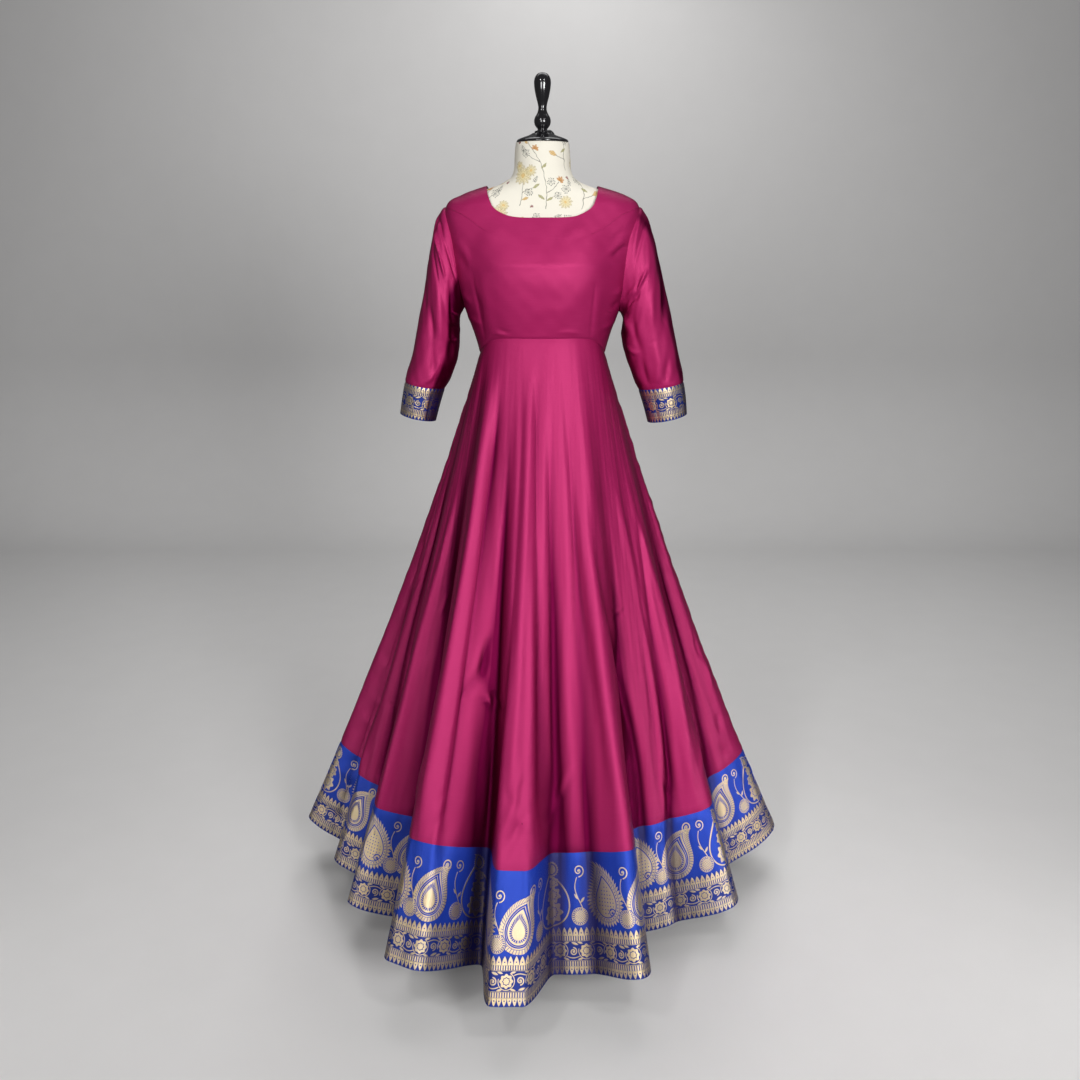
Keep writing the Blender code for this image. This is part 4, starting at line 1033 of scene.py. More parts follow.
sleeve = {
    "columns": 144, "rowsCloth": 124, "rowsCuff": 28, "cuffRing": 8,
    "cuffMapScale": 1.09,  # brings the points of the upper teeth to the cuff's seam
    "head": (0.0036, 0.25, 0.30),  # fullness eased in over the shoulder: height, middle ring, reach
    "startRings": 0.5, "endRings": 0.4,  # rings over which the creases start and end
    "cuffDitch": 0.7,  # a ring's share of its length beside the cuff's seam
    # middle of a side darkened by painted shade as a turn, cosine where it starts, amount
    "shadesRight": ((188, 0.40, 0.72), (0, 0.84, 0.50)), "shadesLeft": ((182, 0.66, 0.62), (4, 0.56, 0.64)),
    # turn in degrees and ring at both ends; bow, width and depth in millimetres; lean
    "creasesRight": (
        (345, 0.8, 296, 0.72, 2, 5.5, -4.2, 0.2), (296, 0.72, 246, 0.5, 2, 5.5, -4.2, 0.2),
        (336, 1.35, 296, 1.5, 2, 7, 4.8, 0.3), (300, 1.48, 268, 1.75, 2, 7, 4.4, 0.3),
        (350, 0.55, 318, 2.1, 2, 6, -4, 0.3), (322, 2, 282, 2.6, 2, 6, -3.4, 0.3),
        (356, 3.2, 316, 4.3, 4, 8, -3.4, 0.3), (306, 3.9, 276, 5.3, 4, 9, -4.4, 0.3),
        (278, 5.2, 244, 7.1, -4, 8, -3.6, 0.3), (256, 1.1, 227, 3.6, 4, 9, -4, 0.2),
        (228, 3.5, 229, 5.9, 3, 8, -3.6, 0.2), (286, 2.6, 260, 5.2, 4, 12, 4, 0.2),
        (250, 5.9, 266, 7.7, 3, 7, 2.8, 0.2), (205, 2.2, 236, 2.9, 3, 6, 3, 0.3),
        (200, 3.3, 232, 3.9, 3, 6, -3, 0.3), (204, 4.6, 240, 4.9, 3, 6, 2.8, 0.3),
        (120, 1, 60, 1.6, 3, 8, 3.6, 0.2), (130, 2.2, 80, 4.2, 4, 9, -3.6, 0.2),
        (104, 3.4, 66, 6.2, -4, 10, 3.4, 0.2), (150, 3.2, 120, 5.4, 3, 7, -3, 0.2),
        (30, 2.2, 20, 4.9, 3, 9, -2.6, 0.2), (76, 5.9, 110, 7.7, 3, 7, 2.8, 0.2),
    ),
    "creasesLeft": (
        (330, 0.3, 282, 0.52, 2, 7, 3.6, 0.2), (340, 0.95, 270, 0.8, 3, 6, -3, 0.2),
        (290, 2.15, 252, 2.05, 4, 7, 4.2, 0.3), (254, 2.05, 224, 0.6, 4, 7, 3.6, 0.3),
        (262, 2.6, 226, 1.7, 4, 7, -4, 0.3), (290, 3, 277, 5.3, 4, 12, 3.6, 0.2),
        (278, 5.2, 255, 7.6, -4, 10, 3.2, 0.2), (356, 1.4, 336, 3.3, 3, 8, -3.2, 0.2),
        (337, 3.2, 308, 4.9, 4, 9, -4, 0.2), (234, 3.1, 243, 5.6, 3, 8, -4.2, 0.3),
        (243, 5.5, 234, 7.7, 3, 8, -3.6, 0.3), (200, 0.9, 228, 4.3, 4, 8, 3.6, 0.2),
        (208, 5, 236, 5.7, 3, 6, 2.8, 0.3), (300, 5.9, 280, 7.6, 3, 7, -2.6, 0.2),
        (116, 1.2, 70, 1.9, 3, 8, 3.6, 0.2), (126, 2.6, 90, 4.6, 4, 9, -3.6, 0.2),
        (100, 3.6, 70, 6.4, -4, 10, 3.4, 0.2), (154, 2.8, 128, 5, 3, 7, -3, 0.2),
        (26, 2.6, 16, 5.2, 3, 9, -2.6, 0.2), (70, 6, 104, 7.7, 3, 7, 2.6, 0.2),
    ),
    # the same where the cuff bends
    "creasesCuff": (
        (243, 7.9, 236, 10.2, 1, 4, -1.4, 0.2), (286, 8.1, 280, 10.2, 1, 6, 0.8, 0),
        (120, 7.9, 112, 10.2, 1, 5, -1.2, 0.2),
    ),
    "metresPerDegree": 0.00105, "metresPerRing": 0.043,
    # height, per degree, per ring, start
    "waves": ((0.00050, 0.070, 1.9, 0.4), (0.00030, 0.130, -3.1, 2.2), (0.00020, 0.230, 5.2, 4.1)),
    # in millimetres: outer and inner point of each slanted oval, as sideways and height, and half its depth
    "right": np.array([
        (217, 1427, 165, 1243, 57), (228, 1380, 170, 1232, 60), (237, 1330, 172, 1215, 61),
        (246, 1270, 172.5, 1196, 60), (258, 1213, 173, 1172, 58), (271, 1150, 177.5, 1140, 56),
        (281.5, 1114, 190, 1106, 53), (287, 1093, 204, 1079, 50), (293, 1061, 215, 1045, 48),
        (298, 1027, 224, 1011, 46)]) * mm,
    "left": np.array([
        (215, 1430, 164, 1235, 60), (231, 1385, 167, 1225, 63), (243, 1330, 166, 1208, 64),
        (257, 1270, 165, 1190, 63), (270, 1213, 168, 1168, 61), (284, 1150, 176, 1140, 58),
        (291.5, 1114, 189, 1106, 54), (295, 1093, 201, 1077, 51), (300, 1061, 212, 1043, 49),
        (303, 1026, 221.5, 1008, 47)]) * mm,
}


def sleeveRings(table, side):
    # the armhole's egg first, then slanted ovals: middle + reach * cos(turn), depth * sin(turn)
    turn = np.linspace(0, 2 * np.pi, sleeve["columns"], endpoint=False)
    share = np.arccos(-np.cos(turn)) / np.pi
    frontDepth, height = armholeEdge(share, False, side)
    backDepth, _ = armholeEdge(share, True, side)
    angle = np.where(np.sin(turn) > 0, -angleAtDepth(backDepth, height, True),
                     angleAtDepth(frontDepth, height, False))
    armhole = bodyOffset(angle, height, form["clearance"] + cloth["solidWall"] / 2 - cloth["seamDitch"])
    ox, oz, ix, iz, depth = (table[:, k:k + 1] for k in range(5))
    ovals = np.stack([(ox + ix) / 2 + (ox - ix) / 2 * np.cos(turn), depth * np.sin(turn),
                      (oz + iz) / 2 + (oz - iz) / 2 * np.cos(turn)], -1)
    rings = np.concatenate([armhole[None], ovals])
    rings[..., 0] *= side
    return rings


def sleeveLift(sideName, ring):
    # creases, ripples and the sewn edge of the cuff, over turn (degrees) and ring
    turn = np.linspace(0, 360, sleeve["columns"], endpoint=False)[None, :]
    toX, toY = sleeve["metresPerDegree"], sleeve["metresPerRing"]
    scale = np.array([toX, toY, toX, toY, mm, mm, mm, 1])
    fade = np.clip(ring / sleeve["startRings"], 0, 1)
    fade = fade * np.clip((sleeve["cuffRing"] - ring) / sleeve["endRings"], 0, 1)
    table = np.array(sleeve["creases" + sideName.capitalize()]) * scale
    x, y, period = turn * toX, ring * toY, 360 * toX
    lift = (segmentCreases(x, y, table, period) + ripples(turn, ring, sleeve["waves"])) * fade
    lift = lift + segmentCreases(x, y, np.array(sleeve["creasesCuff"]) * scale, period)
    height, middle, reach = sleeve["head"]
    head = height * np.exp(-(((ring - middle) / reach) ** 2)) * np.clip(np.cos(np.radians(turn)), 0, 1) ** 2
    return lift + head + seamDitch((ring - sleeve["cuffRing"]) * toY * sleeve["cuffDitch"])


def makeSleeve(sideName, side):
    # rings joined by Catmull-Rom curves down the arm, moved out along their normals by the lift
    rings = sleeveRings(sleeve[sideName], side)
    seam, made = sleeve["cuffRing"], []
    for name, first, last, rows, material, slotName in (
        ("sleeve_" + sideName, 0, seam, sleeve["rowsCloth"], silk, "magenta_silk"),
        ("cuff_border_" + sideName, seam, len(rings) - 1, sleeve["rowsCuff"], zari, "zari_border"),
    ):
        at = np.linspace(first, last, rows + 1)
        points = throughRows(rings, at)
        normals = gridNormals(points, True)
        outward = points - points.mean(axis=1, keepdims=True)
        normals = normals * np.sign(np.sum(normals * outward))
        lift = cloth["shellThickness"] / 2 + sleeveLift(sideName, at[:, None])
        outer = points + normals * lift[..., None]
        closed = np.concatenate([outer, outer[:, :1]], axis=1)
        around, along = arcLength(closed, 1), arcLength(closed, 0)
        uv = np.stack([around.mean(axis=0, keepdims=True) + 0 * around, along[-1:] - along], -1)
        if last > seam:
            uv = uv * sleeve["cuffMapScale"]
        turn = np.linspace(0, 360, sleeve["columns"], endpoint=False)
        # painted shade on the inner and outer sides of the sleeve
        shade = sum(amount * np.clip((np.cos(np.radians(turn - middle)) - least) / 0.25, 0, 1)
                    for middle, least, amount in sleeve["shades" + sideName.capitalize()])
        piece = shell(name + "_cloth", outer, normals, uv, material, True, shade)
        made.append(finishPiece(piece, slotName, name))
    return made


skirt = {
    "hemLevel": 1.160, "hemInset": 0.120, "slant": 1.135, "borderWidth": 0.195,
    "fan": math.radians(18), "sag": 0.095,
    "tuck": 0.004, "tuckReach": 0.0015, "meanRadius": 0.475, "foldGrowth": 1.6,
    # distances from the axis that turn angles into lengths: of folds at both ends, of short creases
    "waistReach": 0.11, "hemReach": 0.51, "creaseReach": 0.40,
    "waistFade": 0.08, "puckerWidth": 0.018,
    # shares at the waist of what folds and waves reach at the hem; lengths over which a fold starts and ends
    "foldDepthTop": 0.45, "foldWidthTop": 0.55, "waveTop": 0.3, "foldStart": 0.22, "foldEnd": 0.18,
    # extra painted shade low down: amount, share of the fall where it starts, share over which it grows
    "lowShade": (0.10, 0.40, 0.40),
    # stretch beside the centre with less painted shade: shade taken off its troughs, angle, spread, fall,
    # spread
    "shadeTakenOff": (0.30, 40, 24, 0.28, 0.20),
    "grid": (360, 125), "borderGrid": (720, 29),
    # degrees from centre front, distance from the axis and extra length in millimetres
    "hemFolds": np.array([
        (-95, 528, 0), (-86, 425, 0), (-79, 455, 0), (-66, 385, 0), (-56, 464, 0), (-41, 380, 0),
        (-28.5, 570, 0), (-23.5, 574, 0), (-14, 470, 0), (-8.5, 602, 30), (-3.5, 594, 29), (2.5, 496, 0),
        (10, 508, 0), (17.2, 576, 2), (29.5, 372, 0), (41, 392, 0), (55, 467, 0), (73, 395, 0),
        (92, 516, 0), (108, 402, 0), (122, 520, 4), (136, 396, 0), (148, 492, 0), (160, 412, 0),
        (174, 566, 10), (188, 424, 0), (201, 528, 0), (214, 392, 0), (229, 538, 6), (245, 398, 0),
        (256, 452, 0)]) * [1, mm, mm],
    # depth and width in millimetres, lean, then the line as per cent of the fall and degrees
    "folds": (
        (15, 20, 0.9, (3, -24.5), (40, -25.5), (88, -26.5)),
        (-15, 16, -0.2, (4, -20.6), (30, -21.2), (60, -21.6), (93, -21.4)),
        (5, 14, 0, (20, -16), (50, -16), (85, -15)),
        (-6, 9, 0.2, (-2, -8.6), (15, -7.8), (45, -8.4), (67, -10.8), (88, -12)),
        (10, 13, 0.3, (0, -4.9), (35, -5.4), (80, -6.6)),
        (-8, 8, 0, (-4, -2.2), (30, -1.8), (50, -1), (86, -0.4)),
        (4, 10, 0, (6, 0.2), (45, 0.8), (80, 1.8)), (-3.4, 9, 0, (10, 2.2), (50, 3), (94, 3.6)),
        (5, 15, 0, (6, 7), (40, 8), (60, 6.6), (90, 7.2)),
        (-4, 10, 0.3, (2, 9.6), (39, 11.5), (59, 14), (84, 15)),
        (5, 15, 0, (20, 12.6), (50, 15.6), (90, 18.6)),
        (-9, 17, -0.2, (26, 18), (44, 20), (56, 27), (70, 34), (92, 33.5)),
        (-4, 7, 0, (40, 42.5), (49, 45), (65, 46), (82, 45.5)), (-6, 12, 0, (46, 70), (60, 74), (88, 66)),
        (6, 16, 0, (20, 34), (42, 43), (62, 45), (88, 40.5)),
        (-6, 12, 0, (22, 54), (45, 47.5), (65, 47), (90, 42.5)), (6, 14, 0, (20, 48), (50, 56), (85, 48.5)),
        (-6, 14, 0, (35, 79), (65, 80.5), (90, 78)), (5, 12, 0, (20, 86), (50, 85), (78, 87)),
        (8, 15, 0.3, (20, -45), (50, -52.5), (90, -53.5)),
        (-7, 14, 0, (22, -29.5), (55, -30.5), (66, -35), (88, -47)),
        (-8, 14, 0, (18, -72), (55, -73.5), (90, -71)), (-6, 10, 0, (50, -58), (86, -56)),
        (7, 13, 0, (22, -90), (60, -86), (90, -75.5)), (-6, 20, 0, (-4, -38), (10, -36), (26, -33)),
        (10, 16, 0.2, (6, 104), (40, 107), (88, 104)), (-10, 13, 0, (12, 114), (45, 116.5), (90, 113)),
        (8, 12, 0, (20, 124), (55, 127), (85, 122)), (-11, 14, -0.3, (8, 137), (45, 141), (92, 136)),
        (9, 14, 0, (5, 150), (40, 152.5), (84, 149)), (-9, 10, 0.2, (3, 163), (40, 161), (90, 164.5)),
        (11, 13, 0, (2, 171), (45, 172.5), (88, 170)), (-10, 11, 0, (4, 180), (40, 181.5), (85, 184)),
        (8, 14, 0, (8, 192), (50, 190), (90, 195)), (-12, 16, 0.4, (6, 205), (40, 207.5), (88, 210)),
        (12, 18, 0.3, (5, 216), (45, 219), (90, 222)), (-8, 11, 0, (15, 232), (50, 234), (86, 229)),
        (8, 12, 0, (18, 243), (55, 241), (90, 246)), (-9, 13, 0, (10, 255), (50, 258), (88, 254)),
    ),
    # height, per degree, per metre of fall, start
    "waves": ((0.00060, 0.42, 5.1, 0.4), (0.00045, 0.71, -8.3, 2.1), (0.00030, 1.30, 13.0, 4.4),
              (0.00022, 2.10, -21.0, 1.3), (0.00014, 3.40, 34.0, 5.2), (0.00060, 0.17, -3.2, 3.3)),
    # height, per metre of fall, per metre sideways, start
    "puckers": ((0.0007, 96, 60, 0.3), (0.0006, 147, -80, 1.9), (0.0004, 231, 110, 4.0),
                (0.0010, 31, 20, 2.6)),
    # in millimetres: sideways and fall at both ends, bow, width, depth; lean
    "shortCreases": np.array([
        (-62, 900, -30, 760, 6, 6.5, 3.6, 0.3), (-52, 925, -12, 840, -5, 6.5, -3.4, 0.3),
        (161, 516, 205, 530, 2, 4, -2, 0.3), (171, 541, 245, 520, 3, 4.5, -2.8, 0.3),
        (-119, 568, -122, 664, 4, 6, -4, 0.3), (-119, 675, -101, 698, 2, 5, 3.6, 0.3),
        (-108, 670, -75, 692, 3, 6, -3.6, 0.3), (-154, 885, -175, 936, 3, 3.5, -2.2, 0.2),
        (-157, 851, -168, 874, 2, 4, -2, 0.2), (-21, 795, -42, 828, 2, 3.5, -2, 0.2),
        (-35, 846, -24, 880, 3, 5, 3, 0.3), (-24, 880, -21, 916, -2, 4.5, -3, 0.3),
        (-531, 755, -503, 775, 2, 5, -2.6, 0.3), (-517, 477, -600, 640, 4, 5, -2.6, 0.2),
        (-297, 494, -318, 545, 2, 4, -2.4, 0.2), (-342, 630, -342, 682, 2, 5, 2.6, 0.3),
        (-56, 817, -38, 848, 3, 5, -2.6, 0.3), (143, 471, 240, 468, 2, 3, -1, 0),
        (600, 641, 600, 700, 4, 6, -3.6, 0.3), (604, 700, 596, 772, -4, 6, 3.4, 0.3),
        (597, 823, 590, 868, 4, 6, -3.6, 0.3), (576, 891, 600, 915, 3, 6, -3.4, 0.3),
        (297, 866, 314, 902, 2, 5, -3, 0.3), (190, 829, 213, 812, 2, 4.5, -2.2, 0.3),
        (-7, 465, 28, 470, 1, 3, -1.2, 0), (900, 520, 935, 600, 4, 6, -3.4, 0.3),
        (1050, 700, 1030, 760, 3, 5, 2.8, 0.3), (1180, 860, 1210, 905, 3, 5, -2.8, 0.3),
        (1330, 600, 1300, 690, 4, 6, -3.4, 0.3), (-780, 550, -800, 640, 4, 6, -3.4, 0.3),
        (-950, 800, -930, 860, 3, 5, 2.8, 0.3), (-1100, 650, -1060, 690, 3, 5, -2.8, 0.3),
        (-245, 905, -205, 800, 6, 8, 3.4, 0.2), (10, 905, 50, 800, -5, 7, 3, 0.2),
        (-150, 690, -118, 600, 5, 7, -3, 0.3), (470, 640, 510, 740, 6, 8, 3.2, 0.2),
        (380, 880, 420, 780, 5, 8, 3.2, 0.2), (-480, 760, -440, 640, 6, 8, -3, 0.2),
        (820, 880, 860, 770, 5, 8, 3, 0.2), (1240, 905, 1270, 800, -5, 8, 3.4, 0.2),
        (-860, 860, -900, 760, 5, 8, -3, 0.2), (1060, 520, 1100, 500, 3, 6, -2.4, 0.2)]) * creaseUnits,
}


def hemAt(angle):
    # half cosine waves between the rows of the hem table: distance from the axis, extra length
    table = skirt["hemFolds"]
    table = np.vstack([table, table[:1] + np.array([360, 0, 0])])
    degrees = (np.degrees(angle) - table[0, 0]) % 360 + table[0, 0]
    row = np.clip(np.searchsorted(table[:, 0], degrees, side="right") - 1, 0, len(table) - 2)
    share = np.clip((degrees - table[row, 0]) / (table[row + 1, 0] - table[row, 0]), 0, 1)
    t = 0.5 - 0.5 * np.cos(np.pi * share)
    return tuple(table[row, k] + (table[row + 1, k] - table[row, k]) * t for k in (1, 2))


def skirtPoint(angle, down):
    # lines from the waist seam to the hem, hollowed a little and fanned towards the front; the flutes of the
    # hem fade upwards faster than the flare does
    bodyAngle = np.pi / 2 - (angle + skirt["fan"] * np.sin(2 * angle))
    seam = bodyOffset(bodyAngle, waistHeight(bodyAngle), form["clearance"] + cloth["solidWall"] / 2)
    radius, extra = hemAt(angle)
    fall = np.sqrt((skirt["slant"] + extra) ** 2 - (radius - skirt["hemInset"]) ** 2)
    hem = np.stack([radius * np.sin(angle), -radius * np.cos(angle), skirt["hemLevel"] - fall], -1)
    outward = down - skirt["sag"] * down * (1 - down)
    spread = (radius - skirt["meanRadius"]) * (np.clip(down, 0, 1) ** skirt["foldGrowth"] - down)
    flutes = np.stack([np.sin(angle), -np.cos(angle), 0 * angle], -1) * spread[..., None]
    return seam + (hem - seam) * np.stack([outward, outward, down], -1) + flutes


def growth(top, down, hem=1.0):
    # even change from a value at the waist to one at the hem
    return top + (hem - top) * down


def meanReach(down):
    return growth(skirt["waistReach"], down, skirt["hemReach"])


def foldField(angle, down):
    # soft folds down the cloth: each has its own line of angles, read smoothly at every share of the fall;
    # height = depth * growth * exp(-(distance / width)^2) with tapered ends, lean tips it to one side
    degrees = np.degrees(angle)
    field = np.zeros(np.broadcast(angle, down).shape)
    for depth, width, lean, *line in skirt["folds"]:
        downs, angles = np.array(line).T * [[0.01], [1]]
        middle = sum(np.interp(down + step, downs, angles) for step in (-0.05, -0.02, 0.02, 0.05)) / 4
        off = (degrees - middle + 180) % 360 - 180
        d = np.radians(off) * meanReach(down) / (width * mm * growth(skirt["foldWidthTop"], down))
        t = (down - downs[0]) / (downs[-1] - downs[0])
        ends = np.clip(t / skirt["foldStart"], 0, 1) * np.clip((1 - t) / skirt["foldEnd"], 0, 1)
        taper = ends * ends * (3 - 2 * ends) * growth(skirt["foldDepthTop"], down)
        field = field + depth * mm * taper * np.exp(-(d**2)) * (1 - lean * d)
    return field


def skirtLift(angle, down):
    # all that lies on the plain folds: soft folds, ripples, puckers at the side seams, short creases, seams
    fade = np.clip(down / skirt["waistFade"], 0, 1)
    fromSeam = np.pi / 2 - np.abs((angle + np.pi / 2) % np.pi - np.pi / 2)
    side = fromSeam * meanReach(down)
    fallen, scale = down * skirt["slant"], skirt["creaseReach"]
    pucker = ripples(fallen, side, skirt["puckers"]) * np.exp(-side / skirt["puckerWidth"])
    seams = seamDitch(fallen) + seamDitch(side) + seamDitch(fallen - (skirt["slant"] - skirt["borderWidth"]))
    waves = ripples(np.degrees(angle), fallen, skirt["waves"]) * growth(skirt["waveTop"], down)
    short = segmentCreases(angle * scale, fallen, skirt["shortCreases"], 2 * np.pi * scale)
    tucked = -cloth["shellThickness"] * np.clip(-fallen / skirt["tuckReach"], 0, 1)
    return (foldField(angle, down) + waves + pucker) * fade + short + seams + tucked


def skirtSurface(angle, down):
    # plain folds moved out along their own normals by the lift
    da, dd = 0.002, 0.003
    along = skirtPoint(angle + da, down) - skirtPoint(angle - da, down)
    fall = skirtPoint(angle, down + dd) - skirtPoint(angle, down - dd)
    normal = unit(np.cross(fall, along))
    return skirtPoint(angle, down) + normal * skirtLift(angle, down)[..., None]


def makeSkirtHalf(suffix, middle):
    # half the turn between the side seams: cloth from the waist to the border's seam, then the border
    borderTop = 1 - skirt["borderWidth"] / skirt["slant"]
    amount, place, spread, level, reach = skirt["shadeTakenOff"]
    lowShade, start, ease = skirt["lowShade"]
    made = []
    for name, first, last, (columns, rows), material, slotName in (
        ("skirt_" + suffix, -skirt["tuck"], borderTop, skirt["grid"], silk, "magenta_silk"),
        ("hem_border_" + suffix, borderTop, 1.0, skirt["borderGrid"], zari, "zari_border"),
    ):
        angle = np.linspace(middle - np.pi / 2, middle + np.pi / 2, columns + 1)[None, :]
        down = np.linspace(first, last, rows + 1)[:, None]
        points = skirtSurface(angle + 0 * down, down + 0 * angle)
        normals = gridNormals(points, False)
        normals = normals * np.sign(np.sum(normals * points * np.array([1, 1, 0])))
        outer = points + normals * cloth["shellThickness"] / 2
        across, along = arcLength(outer, 1), arcLength(outer, 0)
        across = across[len(across) // 2][None, :] + 0 * across
        uv = np.stack([across, along[-1:] - along], -1)
        # painted shade: more towards the hem, less on the stretch beside the centre
        shadeTakenOff = np.exp(-(((np.degrees(angle) - place) / spread) ** 2) - ((down - level) / reach) ** 2)
        shade = lowShade * np.clip((down - start) / ease, 0, 1) - amount * shadeTakenOff
        piece = shell(name + "_cloth", outer, normals, uv, material, False, shade)
        made.append(finishPiece(piece, slotName, name))
    return made


stand = {
    "formColumns": 160, "formRows": 220, "backPanel": 0.31,  # how far the print is shifted on the back panel
    # in millimetres: height, radius
    "cap": np.array([
        (1581.8, 44), (1582, 51.5), (1585, 52.5), (1588.5, 49), (1592.5, 39), (1596, 29), (1599, 23),
        (1600.5, 20.5), (1601.5, 16)]) * mm,
    "finial": np.array([
        (1601.8, 13), (1602.5, 16), (1604.5, 15.5), (1606.5, 11), (1608.8, 9.8), (1611.5, 11.8), (1616, 15),
        (1621.5, 16.7), (1627, 16.8), (1633, 15), (1639, 11.5), (1645, 9.2), (1652, 8.5), (1661, 10),
        (1674, 13.4), (1687, 15.9), (1698.5, 17.1), (1706.5, 16.6), (1713.5, 14), (1718.5, 9.5),
        (1720.7, 4)]) * mm,
    # the same above the cap
    "lug": np.array([
        (0.8, 1.2), (0.8, 4.5), (0.8, 8), (1.4, 9.2), (4, 9), (7.5, 7.2), (10, 4.2), (10.8, 1.2)]) * mm,
    "lugCentre": (0.0165, 0.0205),
    "base": np.array([
        (0, 202), (4, 205), (13, 205), (19, 200), (24, 180), (27, 90), (30, 40)]) * mm,
    "pole": np.array([
        (30.3, 12.5), (859.7, 12.5)]) * mm,
}


def makeForm():
    # rings from the centre back round to the centre back; the cover's two panels meet at the sides, and each
    # is mapped by its distance from its own centre line and by the length up that line
    heights = np.linspace(form["levels"][0, 0], form["levels"][-1, 0], stand["formRows"] + 1)
    angles = np.linspace(-np.pi / 2, 3 * np.pi / 2, stand["formColumns"] + 1)
    angles, heights = np.meshgrid(angles, heights)
    above = (heights - form["shoulderLevel"]) / form["shoulderReach"]
    points = bodyOffset(angles, heights, -form["shoulderInset"] * np.exp(-(above**2))[..., None])
    around, along = arcLength(points, 1), arcLength(points, 0)
    rows, columns = points.shape[0], points.shape[1] - 1

    def panelMap(centre, shift):
        rise = heights[-1, 0] + along[:, centre] - along[-1, centre]
        across = around - around[:, centre][:, None] + shift
        return gridCorners(np.stack([across, rise[:, None] + 0 * across], -1))

    quarter = columns // 4
    maps = panelMap(columns // 2, 0.0)
    maps[:, :quarter] = panelMap(0, stand["backPanel"])[:, :quarter]
    maps[:, -quarter:] = panelMap(columns, stand["backPanel"])[:, -quarter:]
    outwards = [0, 3, 2, 1]  # the other way round each quad
    faces = gridFaces(rows, columns, True)[:, outwards].tolist()
    faces.append(list(range(columns)))
    faces.append(list(range((rows - 1) * columns, rows * columns))[::-1])
    ends = points[0, :-1, :2], points[-1, -2::-1, :2]
    maps = np.concatenate([maps[:, :, outwards].reshape(-1, 2), *ends])
    piece = addMesh("form_torso_cover", points[:, :-1], faces, maps, cover, 50)
    return finishPiece(piece, "form_cover", "form_torso")


def makeStand():
    capTop = stand["cap"][:1:-1]  # the slope that the lug stands on
    for name, profile, steps, columns, centre, ground in (
        ("form_neck_cap", stand["cap"], 6, 96, (0, 0), levelGround),
        ("form_finial", stand["finial"], 6, 64, (0, 0), levelGround),
        ("form_cap_lug", stand["lug"], 5, 32, stand["lugCentre"], capTop),
        ("stand_base", stand["base"], 8, 160, (0, 0), levelGround),
    ):
        piece = turned(name + "_gloss", smoothProfile(profile, steps), columns, lacquer, centre, ground)
        finishPiece(piece, "black_lacquer", name)
    piece = turned("stand_pole_steel", stand["pole"], 48, steel)
    finishPiece(piece, "black_steel", "stand_pole")


bodiceFront = makeBodice("bodice_front_cloth", False)
bodiceBack = makeBodice("bodice_back_cloth", True)
print("bodice made")
sleeveRight, cuffRight = makeSleeve("right", -1)
sleeveLeft, cuffLeft = makeSleeve("left", 1)
print("sleeves made")
skirtFront, borderFront = makeSkirtHalf("front", 0.0)
skirtBack, borderBack = makeSkirtHalf("back", np.pi)
print("skirt made")
torso = makeForm()
makeStand()
print("dress form made")


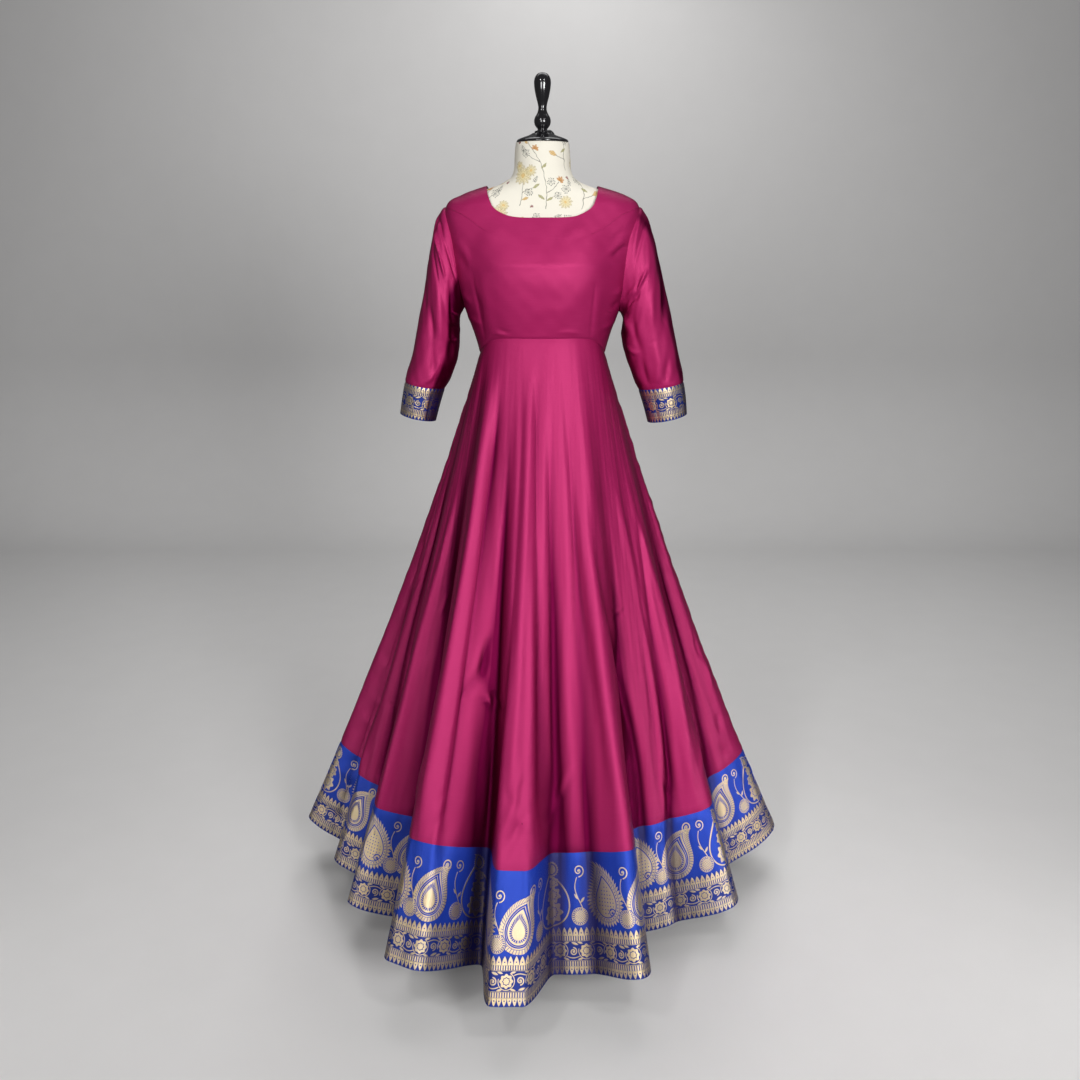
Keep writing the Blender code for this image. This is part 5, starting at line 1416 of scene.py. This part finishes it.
setting = {
    "floorReach": 6.0, "curveStart": 2.6, "curve": 0.8, "wallHeight": 4.0,
    "cameraPlace": (-0.005, -2.35, 1.388), "cameraPitch": 82.0, "sensor": 36,
    "focalShare": 1131 / 1080,  # focal length as a share of the picture's width
    "framingShift": -142 / 1080,  # how far the picture's middle lies below the camera's level
    "worldColour": (0.90, 0.90, 0.92), "worldStrength": 0.10,
    # place, aim, size, power, spread in degrees
    "lamps": (
        ("rightBox", (1.15, -2.75, 1.60), (0, 0, 1.25), 0.8, 31, 145),
        ("leftBox", (-0.80, -2.80, 1.60), (0, 0, 1.25), 0.8, 14.3, 145),
        ("topBox", (0.2, 0.6, 3.2), (0, 0, 1.0), 1.8, 8, 180),
        ("leftLow", (-2.3, -1.3, 0.40), (-0.3, 0, 0.12), 0.5, 0.6, 44),
        ("rightLow", (2.3, -1.3, 0.40), (0.3, 0, 0.12), 0.5, 1.4, 44),
        ("rightSpark", (0.90, -2.00, 2.60), (0, 0, 1.69), 0.26, 9, 180),
        ("leftSpark", (-1.00, -2.00, 2.60), (0, 0, 1.69), 0.26, 9, 180),
        ("backBox", (0.3, 2.9, 3.4), (0, 0, 1.0), 1.0, 24, 180),
        ("backdropBox", (0.0, 1.0, 3.4), (0, 3.4, 1.0), 2.4, 30, 180),
    ),
}


def makeSetting():
    # floor and a backdrop that rises behind it in one curve
    reach, start, curve, wall = (setting[key] for key in ("floorReach", "curveStart", "curve", "wallHeight"))
    turn = np.linspace(0, np.pi / 2, 12)
    x = np.linspace(-reach, reach, 3)[None, :]
    y = np.concatenate([[-reach], start + curve * np.sin(turn), [start + curve]])[:, None]
    z = np.concatenate([[0.0], curve - curve * np.cos(turn), [wall]])[:, None]
    grid = np.stack([x + 0 * y, y + 0 * x, z + 0 * x], -1)
    floor = addMesh("paleFloor", grid, gridFaces(*grid.shape[:2]), None, makePolished("paleFloor"))
    floor.visible_glossy = floor.visible_diffuse = False  # no glow thrown up under the hem
    world = bpy.data.worlds.new("softRoom")
    world.use_nodes = True
    feed(world.node_tree, world.node_tree.nodes["Background"],
         {"Color": setting["worldColour"], "Strength": setting["worldStrength"]})
    bpy.context.scene.world = world
    for name, place, aim, side, power, spread in setting["lamps"]:
        light = bpy.data.lights.new(name, "AREA")
        light.shape, light.size, light.energy, light.spread = "SQUARE", side, power, math.radians(spread)
        lamp = addObject(name, light)
        lamp.location, lamp.rotation_euler = place, aimFrom(place, aim)
        lamp.visible_glossy = name != "backBox"
    camera = bpy.data.cameras.new("camera")
    camera.sensor_width = setting["sensor"]
    camera.lens = setting["sensor"] * setting["focalShare"]
    camera.shift_y = setting["framingShift"]
    eye = addObject("camera", camera)
    eye.location, eye.rotation_euler = setting["cameraPlace"], (math.radians(setting["cameraPitch"]), 0, 0)
    bpy.context.scene.camera = eye
    bpy.context.scene.view_settings.view_transform = "Standard"


def aimFrom(place, aim):
    # turns a lamp's -Z axis from its place towards a point: tilt from straight down, then heading
    dx, dy, dz = (a - p for a, p in zip(aim, place))
    tilt = math.acos(-dz / math.sqrt(dx * dx + dy * dy + dz * dz))
    return (tilt, 0, math.atan2(dy, dx) - math.pi / 2)


makeSetting()
print("setting made")
